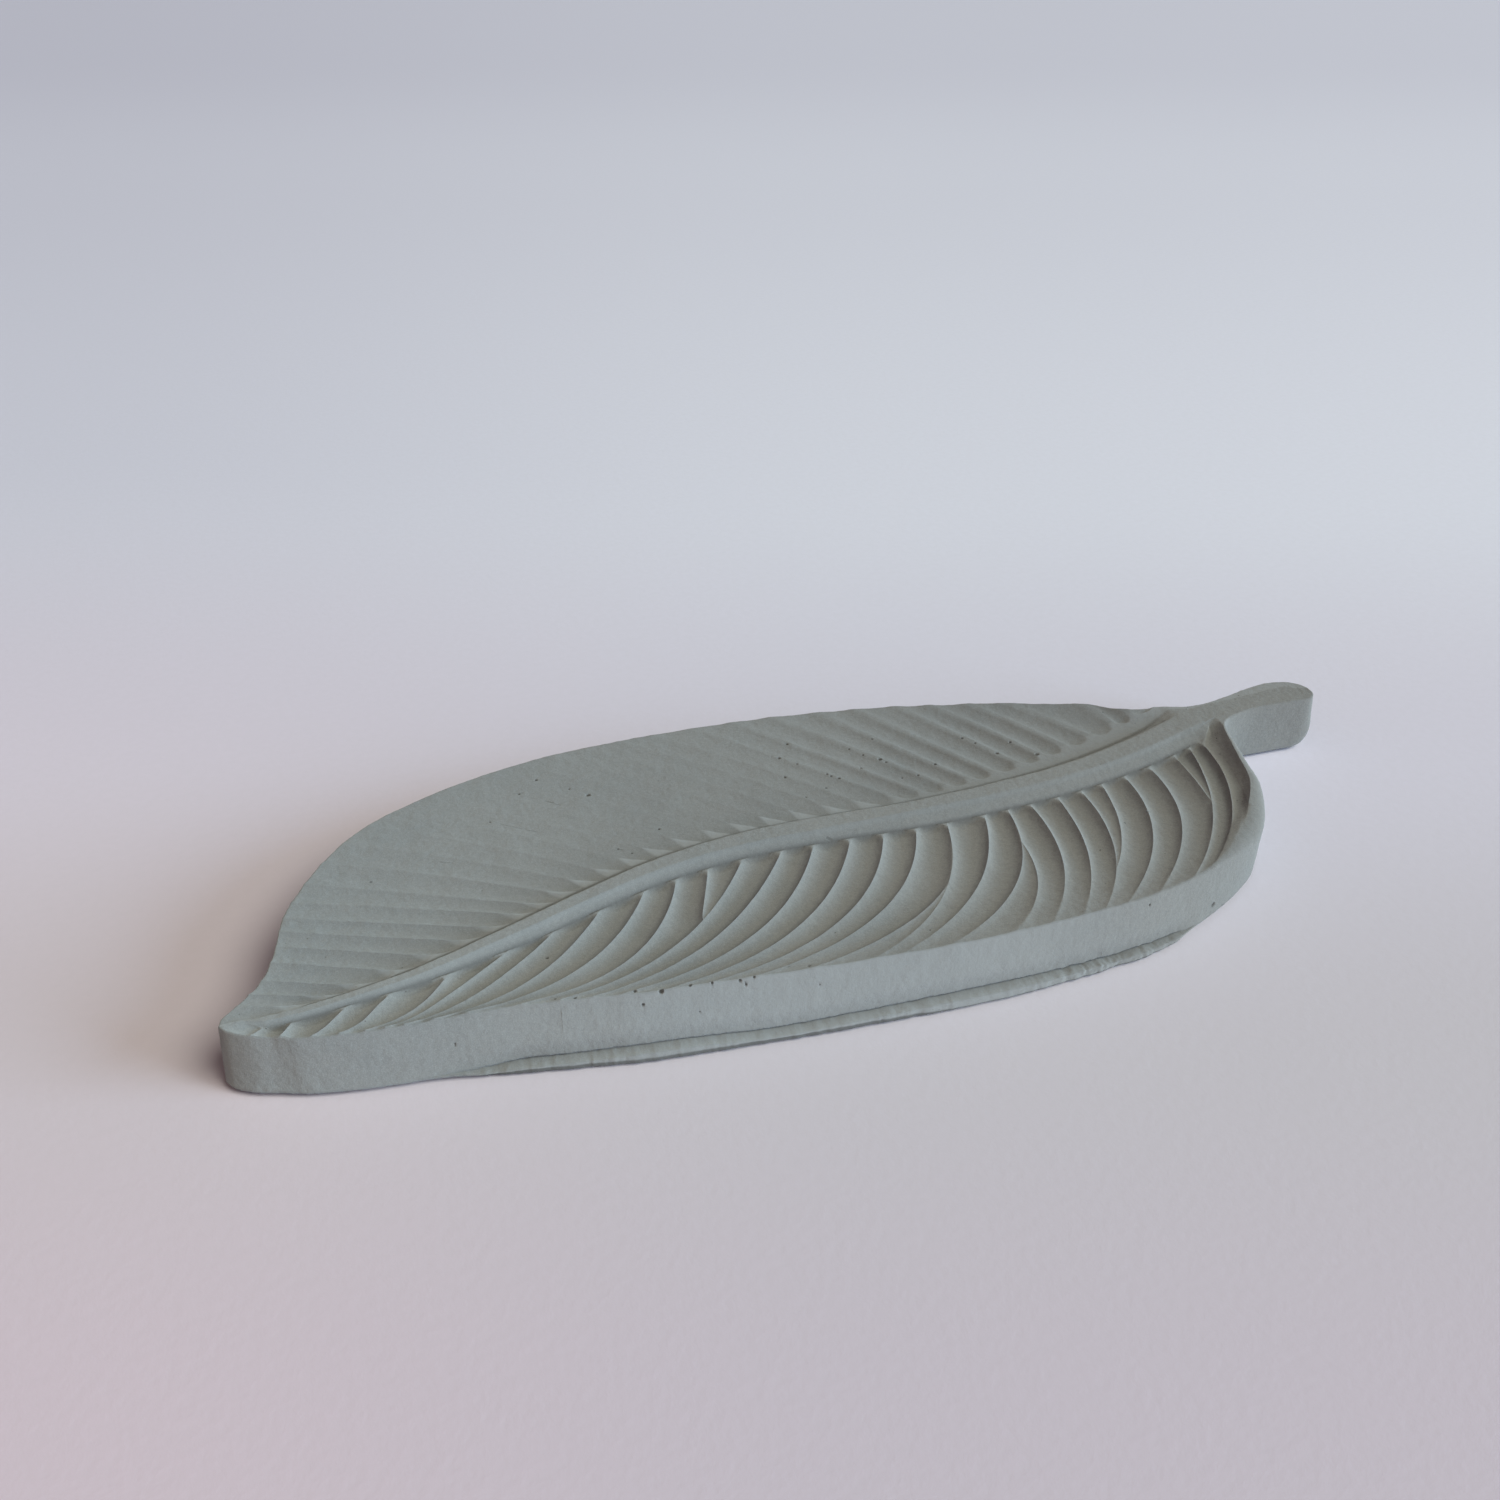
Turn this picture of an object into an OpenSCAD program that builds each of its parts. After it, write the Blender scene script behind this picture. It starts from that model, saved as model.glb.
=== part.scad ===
// Leaf tray: one cast leaf with a raised midrib and carved veins, on four thin rubber dots.
// X runs along the leaf from the tip to the stem, Y across it, Z up from the table.

/* [Tray] */
// Length from the leaf tip to the end of the stem
tray_l = 249; // [180:1:340]
// Width that the outline of the blade follows
tray_w = 97; // [75:1:130]
// Height of the casting without its dots
tray_h = 13.6; // [9:0.1:22]

/* [Midrib] */
// Width of the flat crown of the midrib where the stem begins
rib_w = 5.2; // [4:0.1:6]
// Width of each sloping side of the midrib
rib_side_w = 3; // [2:0.1:4]
// Height of the crown above the foot of the veins
rib_rise = 2.2; // [1:0.1:3.5]

/* [Veins] */
// Number of flutes on the near half of the blade
near_flutes = 29; // [16:1:32]
// Number of flutes on the far half of the blade
far_flutes = 33; // [16:1:34]
// Depth of a near flute at its deepest
near_flute_d = 1.3; // [0.4:0.1:1.8]
// Depth of a far flute at its deepest
far_flute_d = 0.9; // [0.3:0.1:1.4]
// Length of the rounded head of a flute
head_l = 3.2; // [1.5:0.1:5]
// Flat strip between the midrib and the heads of the far flutes, beside the stem
head_gap = 3.6; // [0:0.2:5]

/* [Edge] */
// Rounding of the upper edge
edge_r = 0.3; // [0.15:0.05:0.5]
// Width of the round shoulder that the near rim has beside the neck
shoulder_w = 3.4; // [1:0.1:4.5]
// Spread of the wall at its foot
wall_flare = 1.3; // [0:0.1:2.5]
// Rounding of the lower edge
foot_r = 1.2; // [0.6:0.1:2]
// Reach of the rounding under the end of the stem
stem_foot_r = 3; // [1.2:0.1:3.4]
// Height of the rounding under the end of the stem
stem_foot_h = 5; // [2.2:0.1:7]

/* [Pour lip] */
// Height of the lip that the pour leaves along the near wall
lip_h = 2.2; // [1.4:0.1:3]
// Overhang of the lip
lip_out = 1.4; // [0.2:0.1:1.8]

/* [Dots] */
// Diameter of a rubber dot
dot_d = 12; // [6:0.5:18]
// Thickness of a rubber dot
dot_t = 0.6; // [0.4:0.1:2]
// Rounding of the lower rim of a dot
dot_r = 0.15; // [0.05:0.05:0.2]

/* [Hidden] */

stone_colour = [0.50, 0.53, 0.52];
rubber_colour = [0.13, 0.13, 0.14];

// Middle of the midrib, from the tip: share of the length, share of the width
spine_shares = [
    [-0.024, 0.026], [0.013, 0.008], [0.056, -0.006], [0.129, 0.002], [0.201, 0.037], [0.273, 0.08],
    [0.345, 0.113], [0.418, 0.116], [0.498, 0.087], [0.57, 0.052], [0.643, 0.031], [0.715, 0.023],
    [0.787, 0.037], [0.859, 0.068], [0.932, 0.078], [1.004, 0.074]
];

// Half width of the crown, from the tip: share of the length, share of half the rib width
crown_shares = [
    [0, 0.15], [0.129, 0.17], [0.273, 0.24], [0.418, 0.42], [0.57, 0.61], [0.715, 0.77],
    [0.859, 1], [0.888, 0.85], [0.908, 0.6], [0.95, 0.3], [1.012, 0.2]
];

// Rows across each half of the leaf: place along the half, where -1 is the stem's end, 0 the first
// vein and 1 the tip; foot of the row and its two rim shares; bow of the vein; spread of the wall;
// depth of the dish
near_shares = [
    [-1, 0.986, 1.001, 0.06, 0, 0.7, 0],
    [-0.93, 0.985, 0.998, 0.032, 0, 0.6, 0],
    [-0.86, 0.982, 0.989, 0.02, 0, 0.2, 0],
    [-0.74, 0.964, 0.968, 0.028, 0, 0, 0],
    [-0.58, 0.928, 0.932, 0.043, 0, 0, 0],
    [-0.45, 0.906, 0.908, 0.041, 0, 0, 0],
    [-0.36, 0.892, 0.893, 0.031, 0, 0, 0],
    [-0.3, 0.886, 0.886, 0.012, 0, 0, 0],
    [-0.24, 0.882, 0.877, -0.045, 0, 0, 0],
    [-0.18, 0.879, 0.866, -0.115, 0.01, 0, 0],
    [-0.12, 0.875, 0.853, -0.2, 0.03, -0.1, 1],
    [-0.06, 0.869, 0.83, -0.28, 0.06, -0.2, 1],
    [0, 0.857, 0.796, -0.348, 0.09, -0.1, 1],
    [0.1, 0.796, 0.715, -0.408, 0.11, 0.6, 1],
    [0.225, 0.698, 0.625, -0.414, 0.1, 1, 1],
    [0.353, 0.608, 0.482, -0.365, 0.14, 0.9, 1],
    [0.483, 0.498, 0.289, -0.247, 0.14, 1.4, 1],
    [0.55, 0.442, 0.229, -0.198, 0.145, 1.4, 1],
    [0.612, 0.386, 0.182, -0.161, 0.15, 1.1, 1],
    [0.741, 0.259, 0.104, -0.122, 0.12, 0.5, 1],
    [0.871, 0.108, 0.051, -0.082, 0.05, 0.3, 1],
    [0.931, 0.049, 0.03, -0.053, 0.02, 0.3, 1],
    [0.966, 0.03, 0.016, -0.034, 0, 0.4, 1],
    [0.985, 0.021, 0.004, -0.007, 0, 0.6, 0.5],
    [1, 0.017, 0, 0.013, 0, 0.7, 0]
];
far_shares = [
    [-1, 0.986, 1.001, 0.06, 0, 0.7, 0],
    [-0.92, 0.985, 0.998, 0.085, 0, 0.6, 0],
    [-0.84, 0.981, 0.99, 0.105, 0, 0.2, 0],
    [-0.74, 0.97, 0.974, 0.121, 0, 0, 0],
    [-0.62, 0.95, 0.953, 0.124, 0, 0, 0],
    [-0.48, 0.927, 0.927, 0.118, 0, 0, 0],
    [-0.34, 0.9, 0.9, 0.112, 0, 0.2, 0],
    [-0.2, 0.881, 0.879, 0.119, 0, 0.5, 0],
    [-0.1, 0.871, 0.867, 0.131, 0, 0.6, 0],
    [0, 0.855, 0.85, 0.152, 0, 0.8, 0.1],
    [0.03, 0.827, 0.821, 0.18, 0, 1, 1],
    [0.06, 0.804, 0.796, 0.236, 0, 1, 1],
    [0.125, 0.736, 0.698, 0.364, 0.02, 1, 1],
    [0.25, 0.628, 0.559, 0.493, 0.02, 1, 1],
    [0.375, 0.524, 0.406, 0.569, 0.03, 1, 1],
    [0.5, 0.42, 0.277, 0.582, 0.03, 1, 1],
    [0.625, 0.318, 0.15, 0.499, 0.02, 1, 1],
    [0.75, 0.223, 0.076, 0.319, 0, 1, 1],
    [0.875, 0.129, 0.046, 0.151, 0, 1, 1],
    [0.91, 0.105, 0.035, 0.103, 0, 1, 1],
    [0.97, 0.061, 0.014, 0.051, 0, 1, 1],
    [0.985, 0.04, 0.004, 0.033, 0, 0.9, 0.6],
    [1, 0.017, 0, 0.013, 0, 0.7, 0]
];

// How far the near veins drift towards the tip on their way to the rim: place of the foot, drift
near_drift_shares = [
    [-1, 0], [-0.3, 0], [-0.15, 0.02], [0, 0.072], [0.06, 0.066], [0.15, 0.05], [0.25, 0.012], [0.4, 0.01],
    [0.5, 0], [0.65, -0.03], [0.82, -0.048], [0.92, -0.02], [1, 0]
];
// Round shoulder of the near rim: place on the rim, share of its full width
shoulder_shares = [
    [-1, 0], [-0.36, 0], [-0.3, 0.1], [-0.24, 0.28], [-0.18, 0.42], [-0.12, 0.68], [-0.06, 1], [0, 0.94],
    [0.02, 0.7], [0.04, 0.38], [0.06, 0.2], [0.09, 0.05], [0.12, 0], [1, 0]
];
// Depth of the far flutes: place, share of their full depth
far_depth_shares = [[0, 1], [0.25, 0.9], [0.45, 0.65], [0.75, 0.8], [1, 0.8]];
// Share of a flute's depth that is left where it meets the rim, and where the far ones reach it fully
near_run_share = 0.12;
far_run_share = 0.35;
far_run_full_share = 0.1;
// Stretch of the far half over which the strip beside the midrib narrows, and what is left of it
gap_start_share = 0.15;
gap_end_share = 0.5;
gap_rest_share = 0.25;
// Stretch of the leaf at the tip over which the midrib fades, and what is left of it
tip_fade_share = 0.24;
tip_rest_share = 0.4;
// Profile of the midrib's side: where its two bends lie across it, and how far down they are
side_bend_shares = [[0.28, 0.45], [0.58, 0.93]];
// Stretch of a half beside the neck over which that side widens, and what is left of it at the stem
neck_ramp_share = 0.17;
neck_rest_share = 0.15;
// Where the near half's flute beside the neck begins
neck_share = -0.3;
// How late the dish rises from the foot of the veins to the rim
dish_power = 1.5;
// Stretch of the near half, between the first vein and the tip, that carries the lip
lip_start_share = 0.05;
lip_end_share = 0.72;
lip_ramp_share = 0.06;
// Lower rounding that the lip takes away, and how high the lip is fullest
lip_foot_share = 0.8;
lip_full_share = 0.75;
// Height of the round shoulder to its width, and where a quarter round has its middle
shoulder_fall_share = 0.8;
round_share = 0.3;
// Stretch at the end of the stem that has the larger rounding
stem_end_share = 0.92;
stem_ramp_share = 0.12;
// Places of the dots: share of the length, share of the width
tip_dot_share = [0.155, 0.165];
near_dot_share = [0.600, -0.260];
far_dot_share = [0.470, 0.400];
neck_dot_share = [0.800, -0.050];
// Where the surface is sampled from the foot of a vein to the rim
vein_shares = [0, 0.035, 0.08, 0.15, 0.3, 0.55, 0.8, 1];
// Steps along the stem, along the neck and in each flute, and sides of a dot
stem_steps = 16;
neck_steps = 10;
flute_steps = 5;
dot_sides = 96;
// Rows at the end of the stem and flutes at the tip over which the midrib closes
end_rows = 3;
tip_flutes = 2;
// Small stretch of a half on which the direction of the rim is measured
reach_share = 0.004;
// Points closer together than this count as one
same_x = 0.0001;

function clamp(a, low, high) = min(max(a, low), high);
function unit(a) = a / norm(a);

// Smooth value of a column of a table at a place given by its first column
function segment(table, x, i = 0) =
    i >= len(table) - 2 || x < table[i + 1][0] ? i : segment(table, x, i + 1);
function rate(table, column, i) =
    let (a = max(i - 1, 0), b = min(i + 1, len(table) - 1))
    (table[b][column] - table[a][column]) / (table[b][0] - table[a][0]);
function value(table, column, x) =
    let (i = segment(table, x),
         h = table[i + 1][0] - table[i][0],
         u = (x - table[i][0]) / h,
         w = 1 - u)
    w * w * (1 + 2 * u) * table[i][column] + u * u * (1 + 2 * w) * table[i + 1][column]
    + u * w * h * (w * rate(table, column, i) - u * rate(table, column, i + 1));

// Distance of a point from a line of points
function from_piece(p, a, b) =
    let (d = b - a, k = clamp((p - a) * d / (d * d), 0, 1))
    norm(p - a - k * d);
function from_line(p, line) = min([for (i = [0 : len(line) - 2]) from_piece(p, line[i], line[i + 1])]);

function rows(side) = side < 0 ? near_shares : far_shares;
function flutes(side) = side < 0 ? near_flutes : far_flutes;

// The rim in plan, its outward direction, and the place on it that a vein runs to
function rim(side, t) = [tray_l * value(rows(side), 2, t), tray_w * value(rows(side), 3, t)];
function outward(side, t) =
    t <= -1 ? [1, 0] :
    t >= 1 ? [-1, 0] :
    let (d = unit(rim(side, min(t + reach_share, 1)) - rim(side, max(t - reach_share, -1))))
    side * [d[1], -d[0]];
function rim_place(side, t) = side > 0 ? t : t + value(near_drift_shares, 1, t);
function shoulder(side, place) = side > 0 ? 0 : shoulder_w * max(0, value(shoulder_shares, 1, place));

// The midrib: its middle, and how far its crown and its foot lie from the middle
function spine(x_share) = tray_w * value(spine_shares, 1, x_share);
function ends_fade(side, t) =
    clamp((1 - t) * flutes(side), 0, 1) * clamp((t + 1) / (1 + neck_share) * stem_steps / end_rows, 0, 1);
function crown_half(side, t, x_share) =
    rib_w / 2 * value(crown_shares, 1, x_share) * ends_fade(side, t);
function tip_share(x_share) = clamp(x_share / tip_fade_share, tip_rest_share, 1);
function side_w(side, t, x_share) =
    rib_side_w * tip_share(x_share) * clamp(1 + t / neck_ramp_share, neck_rest_share, 1) * ends_fade(side, t);

// Both ends of a vein in plan, and a point along it, bowed towards the tip side of its chord
function foot(side, t) =
    let (x_share = value(rows(side), 1, t))
    [tray_l * x_share, spine(x_share) + side * (crown_half(side, t, x_share) + side_w(side, t, x_share))];
function vein_end(side, t) =
    let (place = rim_place(side, t))
    rim(side, place) - (edge_r + shoulder(side, place)) * outward(side, place);
function chord_left(chord) = [-chord[1], chord[0]];
function vein(side, t, v) =
    let (a = foot(side, t),
         b = vein_end(side, t),
         middle = (a + b) / 2 - side * 2 * value(rows(side), 4, t) * chord_left(b - a))
    (1 - v) * (1 - v) * a + 2 * v * (1 - v) * middle + v * v * b;

// Depth of the blade's dish, from the foot of a row to the rim
function foot_drop(side, t) =
    rib_rise * tip_share(value(rows(side), 1, t)) * clamp(value(rows(side), 6, t), 0, 1);
function dish(v) = 1 - pow(v, dish_power);

// Depth of the flutes: f runs from -1 to 1 across a flute, v from the foot to the rim
function groove(f, head) = max(0, 1 - f * f - head * head);
function flute_d(side, t) = side < 0 ? near_flute_d : far_flute_d * value(far_depth_shares, 1, t);
function run_share(side, t) = side < 0 ? near_run_share : far_run_share * clamp(t / far_run_full_share, 0, 1);
function gap(side, t) =
    side < 0 ? 0 :
    head_gap * clamp((gap_end_share - t) / (gap_end_share - gap_start_share), gap_rest_share, 1);
function flute_depth(side, t, v, s) =
    t <= 0 ? 0 :
    let (k = t * flutes(side),
         f = 2 * (k - floor(k + same_x)) - 1,
         head = max(0, 1 - (s - gap(side, t)) / head_l),
         run = 1 - (1 - run_share(side, t)) * v * v)
    flute_d(side, t) * run * groove(f, head) * clamp((1 - t) * flutes(side) / tip_flutes, 0, 1);

// Beside the neck one more near flute lies between the first vein and the crest of the rim
first_vein = [for (v = vein_shares) vein(-1, 0, v)];
crest = concat(
    [foot(-1, neck_share)],
    [for (i = [0 : neck_steps]) vein_end(-1, neck_share * (1 - i / neck_steps))]
);
function neck_drop(p, v, s) =
    let (a = from_line(p, first_vein),
         b = from_line(p, crest),
         u = a / (a + b + same_x))
    foot_drop(-1, 0) * dish(v) * (1 - u) + near_flute_d * groove(2 * u - 1, max(0, 1 - s / head_l));

// How far a point of the blade lies below the crown
function drop(side, t, p, v, s) =
    side < 0 && t < 0 ? (t <= neck_share ? 0 : neck_drop(p, v, s)) :
    foot_drop(side, t) * dish(v) + flute_depth(side, t, v, s);

function lip(side, place) =
    side > 0 ? 0 :
    clamp(min(place - lip_start_share, lip_end_share - place) / lip_ramp_share, 0, 1);
function stem_end(t) = clamp((-t - stem_end_share) / stem_ramp_share + 1, 0, 1);

// One row of points over a half of the leaf: crown, rib side, vein, rim, wall, lip, underside
function row(side, t) =
    let (x_share = value(rows(side), 1, t),
         x = tray_l * x_share,
         mid = spine(x_share),
         crown = crown_half(side, t, x_share),
         wide = side_w(side, t, x_share),
         place = rim_place(side, t),
         edge = rim(side, place),
         out = outward(side, place),
         reach = norm(vein_end(side, t) - foot(side, t)),
         foot_low = drop(side, t, foot(side, t), 0, 0),
         rim_z = tray_h - drop(side, t, vein_end(side, t), 1, reach),
         round = shoulder(side, place),
         wall_top = rim_z - edge_r - shoulder_fall_share * round,
         flare = wall_flare * value(rows(side), 5, place),
         over = lip_out * lip(side, place),
         low_r = foot_r * (1 - lip_foot_share * lip(side, place)) + (stem_foot_r - foot_r) * stem_end(t),
         low_h = foot_r + (stem_foot_h - foot_r) * stem_end(t),
         wall_low = max(lip_h, low_h))
    concat(
        [[x, mid + side * crown, tray_h]],
        [for (b = side_bend_shares) [x, mid + side * (crown + wide * b[0]), tray_h - foot_low * b[1]]],
        [for (v = vein_shares)
            let (p = vein(side, t, v))
            concat(p, tray_h - drop(side, t, p, v, v * reach))],
        [concat(edge - (edge_r + round) * round_share * out, rim_z - (rim_z - wall_top) * round_share)],
        [concat(edge, wall_top)],
        [concat(edge + flare * out, wall_low)],
        [concat(edge + (flare + over) * out, wall_low * lip_full_share)],
        [concat(edge + (flare + over - low_r * round_share) * out, low_h * round_share)],
        [concat(edge + (flare + over - low_r) * out, 0)]
    );

function places(side) = concat(
    [for (i = [0 : stem_steps - 1]) -1 + (1 + neck_share) * i / stem_steps],
    [for (i = [0 : neck_steps - 1]) neck_share * (1 - i / neck_steps)],
    [for (i = [0 : flutes(side) * flute_steps]) i / (flutes(side) * flute_steps)]
);

near_rows = [for (t = places(-1)) row(-1, t)];
far_rows = [for (t = places(1)) row(1, t)];
near_count = len(near_rows);
far_count = len(far_rows);
row_count = len(near_rows[0]);

// The two halves share their first and last rows
points = concat(
    [for (r = near_rows, p = r) p],
    [for (j = [1 : far_count - 2], p = far_rows[j]) p]
);
function near_at(i, m) = i * row_count + m;
function far_at(j, m) =
    j == 0 ? near_at(0, m) :
    j == far_count - 1 ? near_at(near_count - 1, m) :
    (near_count + j - 1) * row_count + m;
function patch(a, b, c, d) = [[a, b, c], [a, c, d]];

faces = concat(
    [for (i = [0 : near_count - 2], m = [0 : row_count - 2],
          f = patch(near_at(i, m), near_at(i, m + 1), near_at(i + 1, m + 1), near_at(i + 1, m))) f],
    [for (j = [0 : far_count - 2], m = [0 : row_count - 2],
          f = patch(far_at(j, m), far_at(j + 1, m), far_at(j + 1, m + 1), far_at(j, m + 1))) f],
    strip(0, false),
    strip(row_count - 1, true)
);

// Flat strip that closes the crown or the underside, between the two halves' rows of points m
function strip(m, down) =
    let (near_x = [for (r = near_rows) r[m][0]],
         far_x = [for (r = far_rows) r[m][0]])
    [for (f = concat(
        [for (i = [0 : near_count - 2])
            let (j = count_over(far_x, near_x[i + 1], same_x))
            [near_at(i, m), near_at(i + 1, m), far_at(j, m)]],
        [for (j = [0 : far_count - 2])
            let (i = count_over(near_x, far_x[j + 1], -same_x))
            [near_at(i, m), far_at(j + 1, m), far_at(j, m)]]))
        if (f[0] != f[1] && f[1] != f[2] && f[0] != f[2]) down ? [f[2], f[1], f[0]] : f];
// How many points after the first one lie further along than a place
function count_over(xs, x, margin) =
    len([for (k = [1 : len(xs) - 1]) if (xs[k] > x + margin) k]);

// Middle of the outline, which is the origin of the tray
all_x = [for (p = points) p[0]];
all_y = [for (p = points) p[1]];
centre = [(min(all_x) + max(all_x)) / 2, (min(all_y) + max(all_y)) / 2];

module cast_leaf() {
    color(stone_colour)
    translate([-centre[0], -centre[1], dot_t])
    polyhedron(points = points, faces = faces, convexity = 12);
}

module dot(share) {
    color(rubber_colour)
    translate([tray_l * share[0] - centre[0], tray_w * share[1] - centre[1], 0])
    rotate_extrude($fn = dot_sides)
    polygon([
        [0, 0], [dot_d / 2 - dot_r, 0], [dot_d / 2, dot_r], [dot_d / 2, dot_t], [0, dot_t]
    ]);
}

module tip_dot() {
    dot(tip_dot_share);
}

module near_dot() {
    dot(near_dot_share);
}

module far_dot() {
    dot(far_dot_share);
}

module neck_dot() {
    dot(neck_dot_share);
}

cast_leaf();
tip_dot();
near_dot();
far_dot();
neck_dot();
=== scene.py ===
"""The finished look of the leaf tray: a cast stone leaf on a pale paper floor.

The surface is worked out in millimetres, measured from the leaf tip along the leaf (x), across it (y)
and up from the casting's underside (z), and is then laid over the fixed frame. Its rows run across each
half of the leaf, and their places t go from -1 at the stem's end over 0 at the first vein to 1 at the tip.
"""

import math
import random

import bmesh
import bpy
import numpy as np
from mathutils import Euler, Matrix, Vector, noise
from mathutils.bvhtree import BVHTree
from mathutils.kdtree import KDTree

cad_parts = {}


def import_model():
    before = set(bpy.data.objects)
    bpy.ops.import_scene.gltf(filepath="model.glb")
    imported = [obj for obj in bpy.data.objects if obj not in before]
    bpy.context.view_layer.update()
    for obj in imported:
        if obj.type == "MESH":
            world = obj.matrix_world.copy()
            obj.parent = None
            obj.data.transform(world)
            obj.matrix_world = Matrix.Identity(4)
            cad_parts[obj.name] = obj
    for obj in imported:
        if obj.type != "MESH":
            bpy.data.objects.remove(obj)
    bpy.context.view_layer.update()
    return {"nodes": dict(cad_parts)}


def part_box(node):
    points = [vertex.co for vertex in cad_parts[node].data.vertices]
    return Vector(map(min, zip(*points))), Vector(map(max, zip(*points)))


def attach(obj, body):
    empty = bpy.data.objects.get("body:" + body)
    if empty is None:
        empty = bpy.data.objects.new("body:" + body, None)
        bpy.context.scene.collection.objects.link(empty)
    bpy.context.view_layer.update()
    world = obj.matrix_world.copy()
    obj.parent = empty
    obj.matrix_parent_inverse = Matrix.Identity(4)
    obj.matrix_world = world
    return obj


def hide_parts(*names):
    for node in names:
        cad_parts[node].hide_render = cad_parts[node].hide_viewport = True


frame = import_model()

MM = 0.001

# Camera of the photograph: its place in millimetres from the leaf tip at the casting's underside, its turn
# and tilt in degrees, lens and sensor in millimetres, view in metres, and the photograph's width in pixels
CAMERA_AT = (-3.2, -209.1, 190.3)
CAMERA_TURN = 26.36
CAMERA_DOWN = 32.5
LENS = 36.0
SENSOR = 36.0
VIEW_END = 50.0
PHOTO = 1500

# Lengths are in millimetres unless a comment says otherwise. A RISE is the place where something sets in
# and the width over which it does, a FALL the place where it has ended and that width. Places are those of
# the rows, but for lands and teeth they are millimetres from the midrib's foot.

# Whole casting
TRAY_L = 249.0
TRAY_W = 97.0
TRAY_H = 13.6

# Midrib: width of its crown and of one side, and its height over the blade
RIB_W = 5.2
RIB_SIDE_W = 3.0
RIB_RISE = 2.2

# Midrib near the tip: lower and narrower up to this share of the length, down to this share
TIP_RIB_TO = 0.24
TIP_RIB_SHARE = 0.4

# Rates at which the midrib fades to the stem's end and its side along the neck, and the least of its side
STEM_FADE_RATE = 8
NECK_FADE_RATE = 6
NECK_SIDE_SHARE = 0.15

# Share of the midrib's near side that the crown takes over towards the tip
CROWN_SHIFT = 0.5
CROWN_SHIFT_RISE = (0.38, 0.15)

# Midrib's sides: share that falls in a smooth step, width of that step, share that falls evenly
NEAR_SIDE_FALLS = (0.3, 0.25, 0.7)
FAR_SIDE_FALLS = (0.85, 0.55, 0.15)

# Power of the blade's rise from the midrib's foot to the rim
DISH_POWER = 1.5

# Flutes: number, full depth, power of the round cross section
NEAR_FLUTES = 29
FAR_FLUTES = 33
NEAR_FLUTE_D = 1.5
FAR_FLUTE_D = 0.9
NEAR_ROUND_POWER = 2.6
FAR_ROUND_POWER = 2.2

# Share of its depth that a flute keeps at the rim, and the power of the way there
NEAR_RUN = 0.12
NEAR_RUN_MORE = 0.14
NEAR_RUN_RISE = (0.3, 0.25)
FAR_RUN = 0.35
FAR_RUN_MORE = 0.1
FAR_RUN_FADE = 0.08
FAR_RUN_START = 0.004
RUN_POWER = 2
NEAR_RUN_POWER_MORE = 1.5

# Depth by the flute's width: width of full depth in flutes, the most of their ratio, the ratio's power
FULL_WIDTH = 0.9
MOST_WIDTH = 1.08
WIDTH_POWER = 1.3

# Flutes before the tip over which their depth fades
TIP_FADE_FLUTES = 2

# Heads of the flutes beside the midrib, the most of a row that they and their corners take, and the
# power by which a blunt flute narrows
NEAR_HEAD_L = 1.3
FAR_HEAD_L = 3.2
HEAD_SHARE = 0.2
NEAR_HEAD_POWER = 1.5
HEAD_CORNER = 2.2
CORNER_SHARE = 0.12
BLUNT_POWER = 0.8

# Gap between the midrib and the heads of the far flutes
HEAD_GAP = 3.6
LEAST_GAP_SHARE = 0.05
HEAD_GAP_FALL = (0.37, 0.25)

# Flute beside the neck
NECK_FLUTE_L = 38.0
NECK_HEAD_L = 1.8
NECK_FADE_L = 14.0
NECK_SHIFT_POWER = 1.5

# Crease along the midrib's foot
CREASE_D = 0.3
CREASE_W = 0.35
CREASE_RISE = (0, 0.03)
CREASE_FALL = (1, 0.08)

# Rim, wall and foot, the place behind the first vein where the stem's foot is roundest, and over what width
EDGE_R = 0.3
SHOULDER_W = 3.4
SHOULDER_SLOPE = 0.8
WALL_FLARE = 1.3
FOOT_R = 1.2
STEM_FOOT_R = 3.0
STEM_FOOT_H = 5.0
STEM_END_AT = 0.92
STEM_END_W = 0.12

# Step along the rim from which its direction is taken
RIM_STEP = 0.004

# Pour lip, and how much it reaches out less beside the neck
LIP_H = 2.2
LIP_OUT = 1.4
LIP_EDGE_R = 0.25
LIP_RISE = (0.09, 0.05)
LIP_FALL = (0.71, 0.12)
LIP_FOOT_LESS = 0.8
LIP_OUT_LIMITS = (0.1, 1.6)
NECK_OUT_LESS = 0.4
NECK_OUT_FALL = (0.32, 0.1)

# Hollow over the lip, and the crevice between them
COVE_H = 5.0
COVE_D = 0.7
CREVICE_H = 0.6
CREVICE_D = 0.5

# Ragged edge of the lip: layers of height, size and seed, and how much of them it takes where it crumbles
RAGGED_LAYERS = ((1, 2.6, 4.0), (0.6, 0.9, 9.0))
RAGGED_LEAST = 0.04
RAGGED_MORE = 0.3
RAGGED_HEIGHT = 0.5
CRUMBLY_LEAST = 0.1
NECK_CRUMBLY = 0.3
NECK_CRUMBLY_FALL = (0.3, 0.08)
TIP_CRUMBLY = 0.8
TIP_CRUMBLY_RISE = (0.6, 0.06)

# Uneven surface: layers of height, size and seed, then the coarse grit of the lip
UNEVEN_LAYERS = ((0.05, 6.0, 2.0), (0.03, 1.2, 5.0))
GRIT_H = 0.3
GRIT_SIZE = 0.9
GRIT_SEED = 8.0

# Ends of the halves are joined within this distance in metres. Edges over this angle in degrees stay sharp
WELD = 2e-6
SHARP_ANGLE = 50

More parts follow.
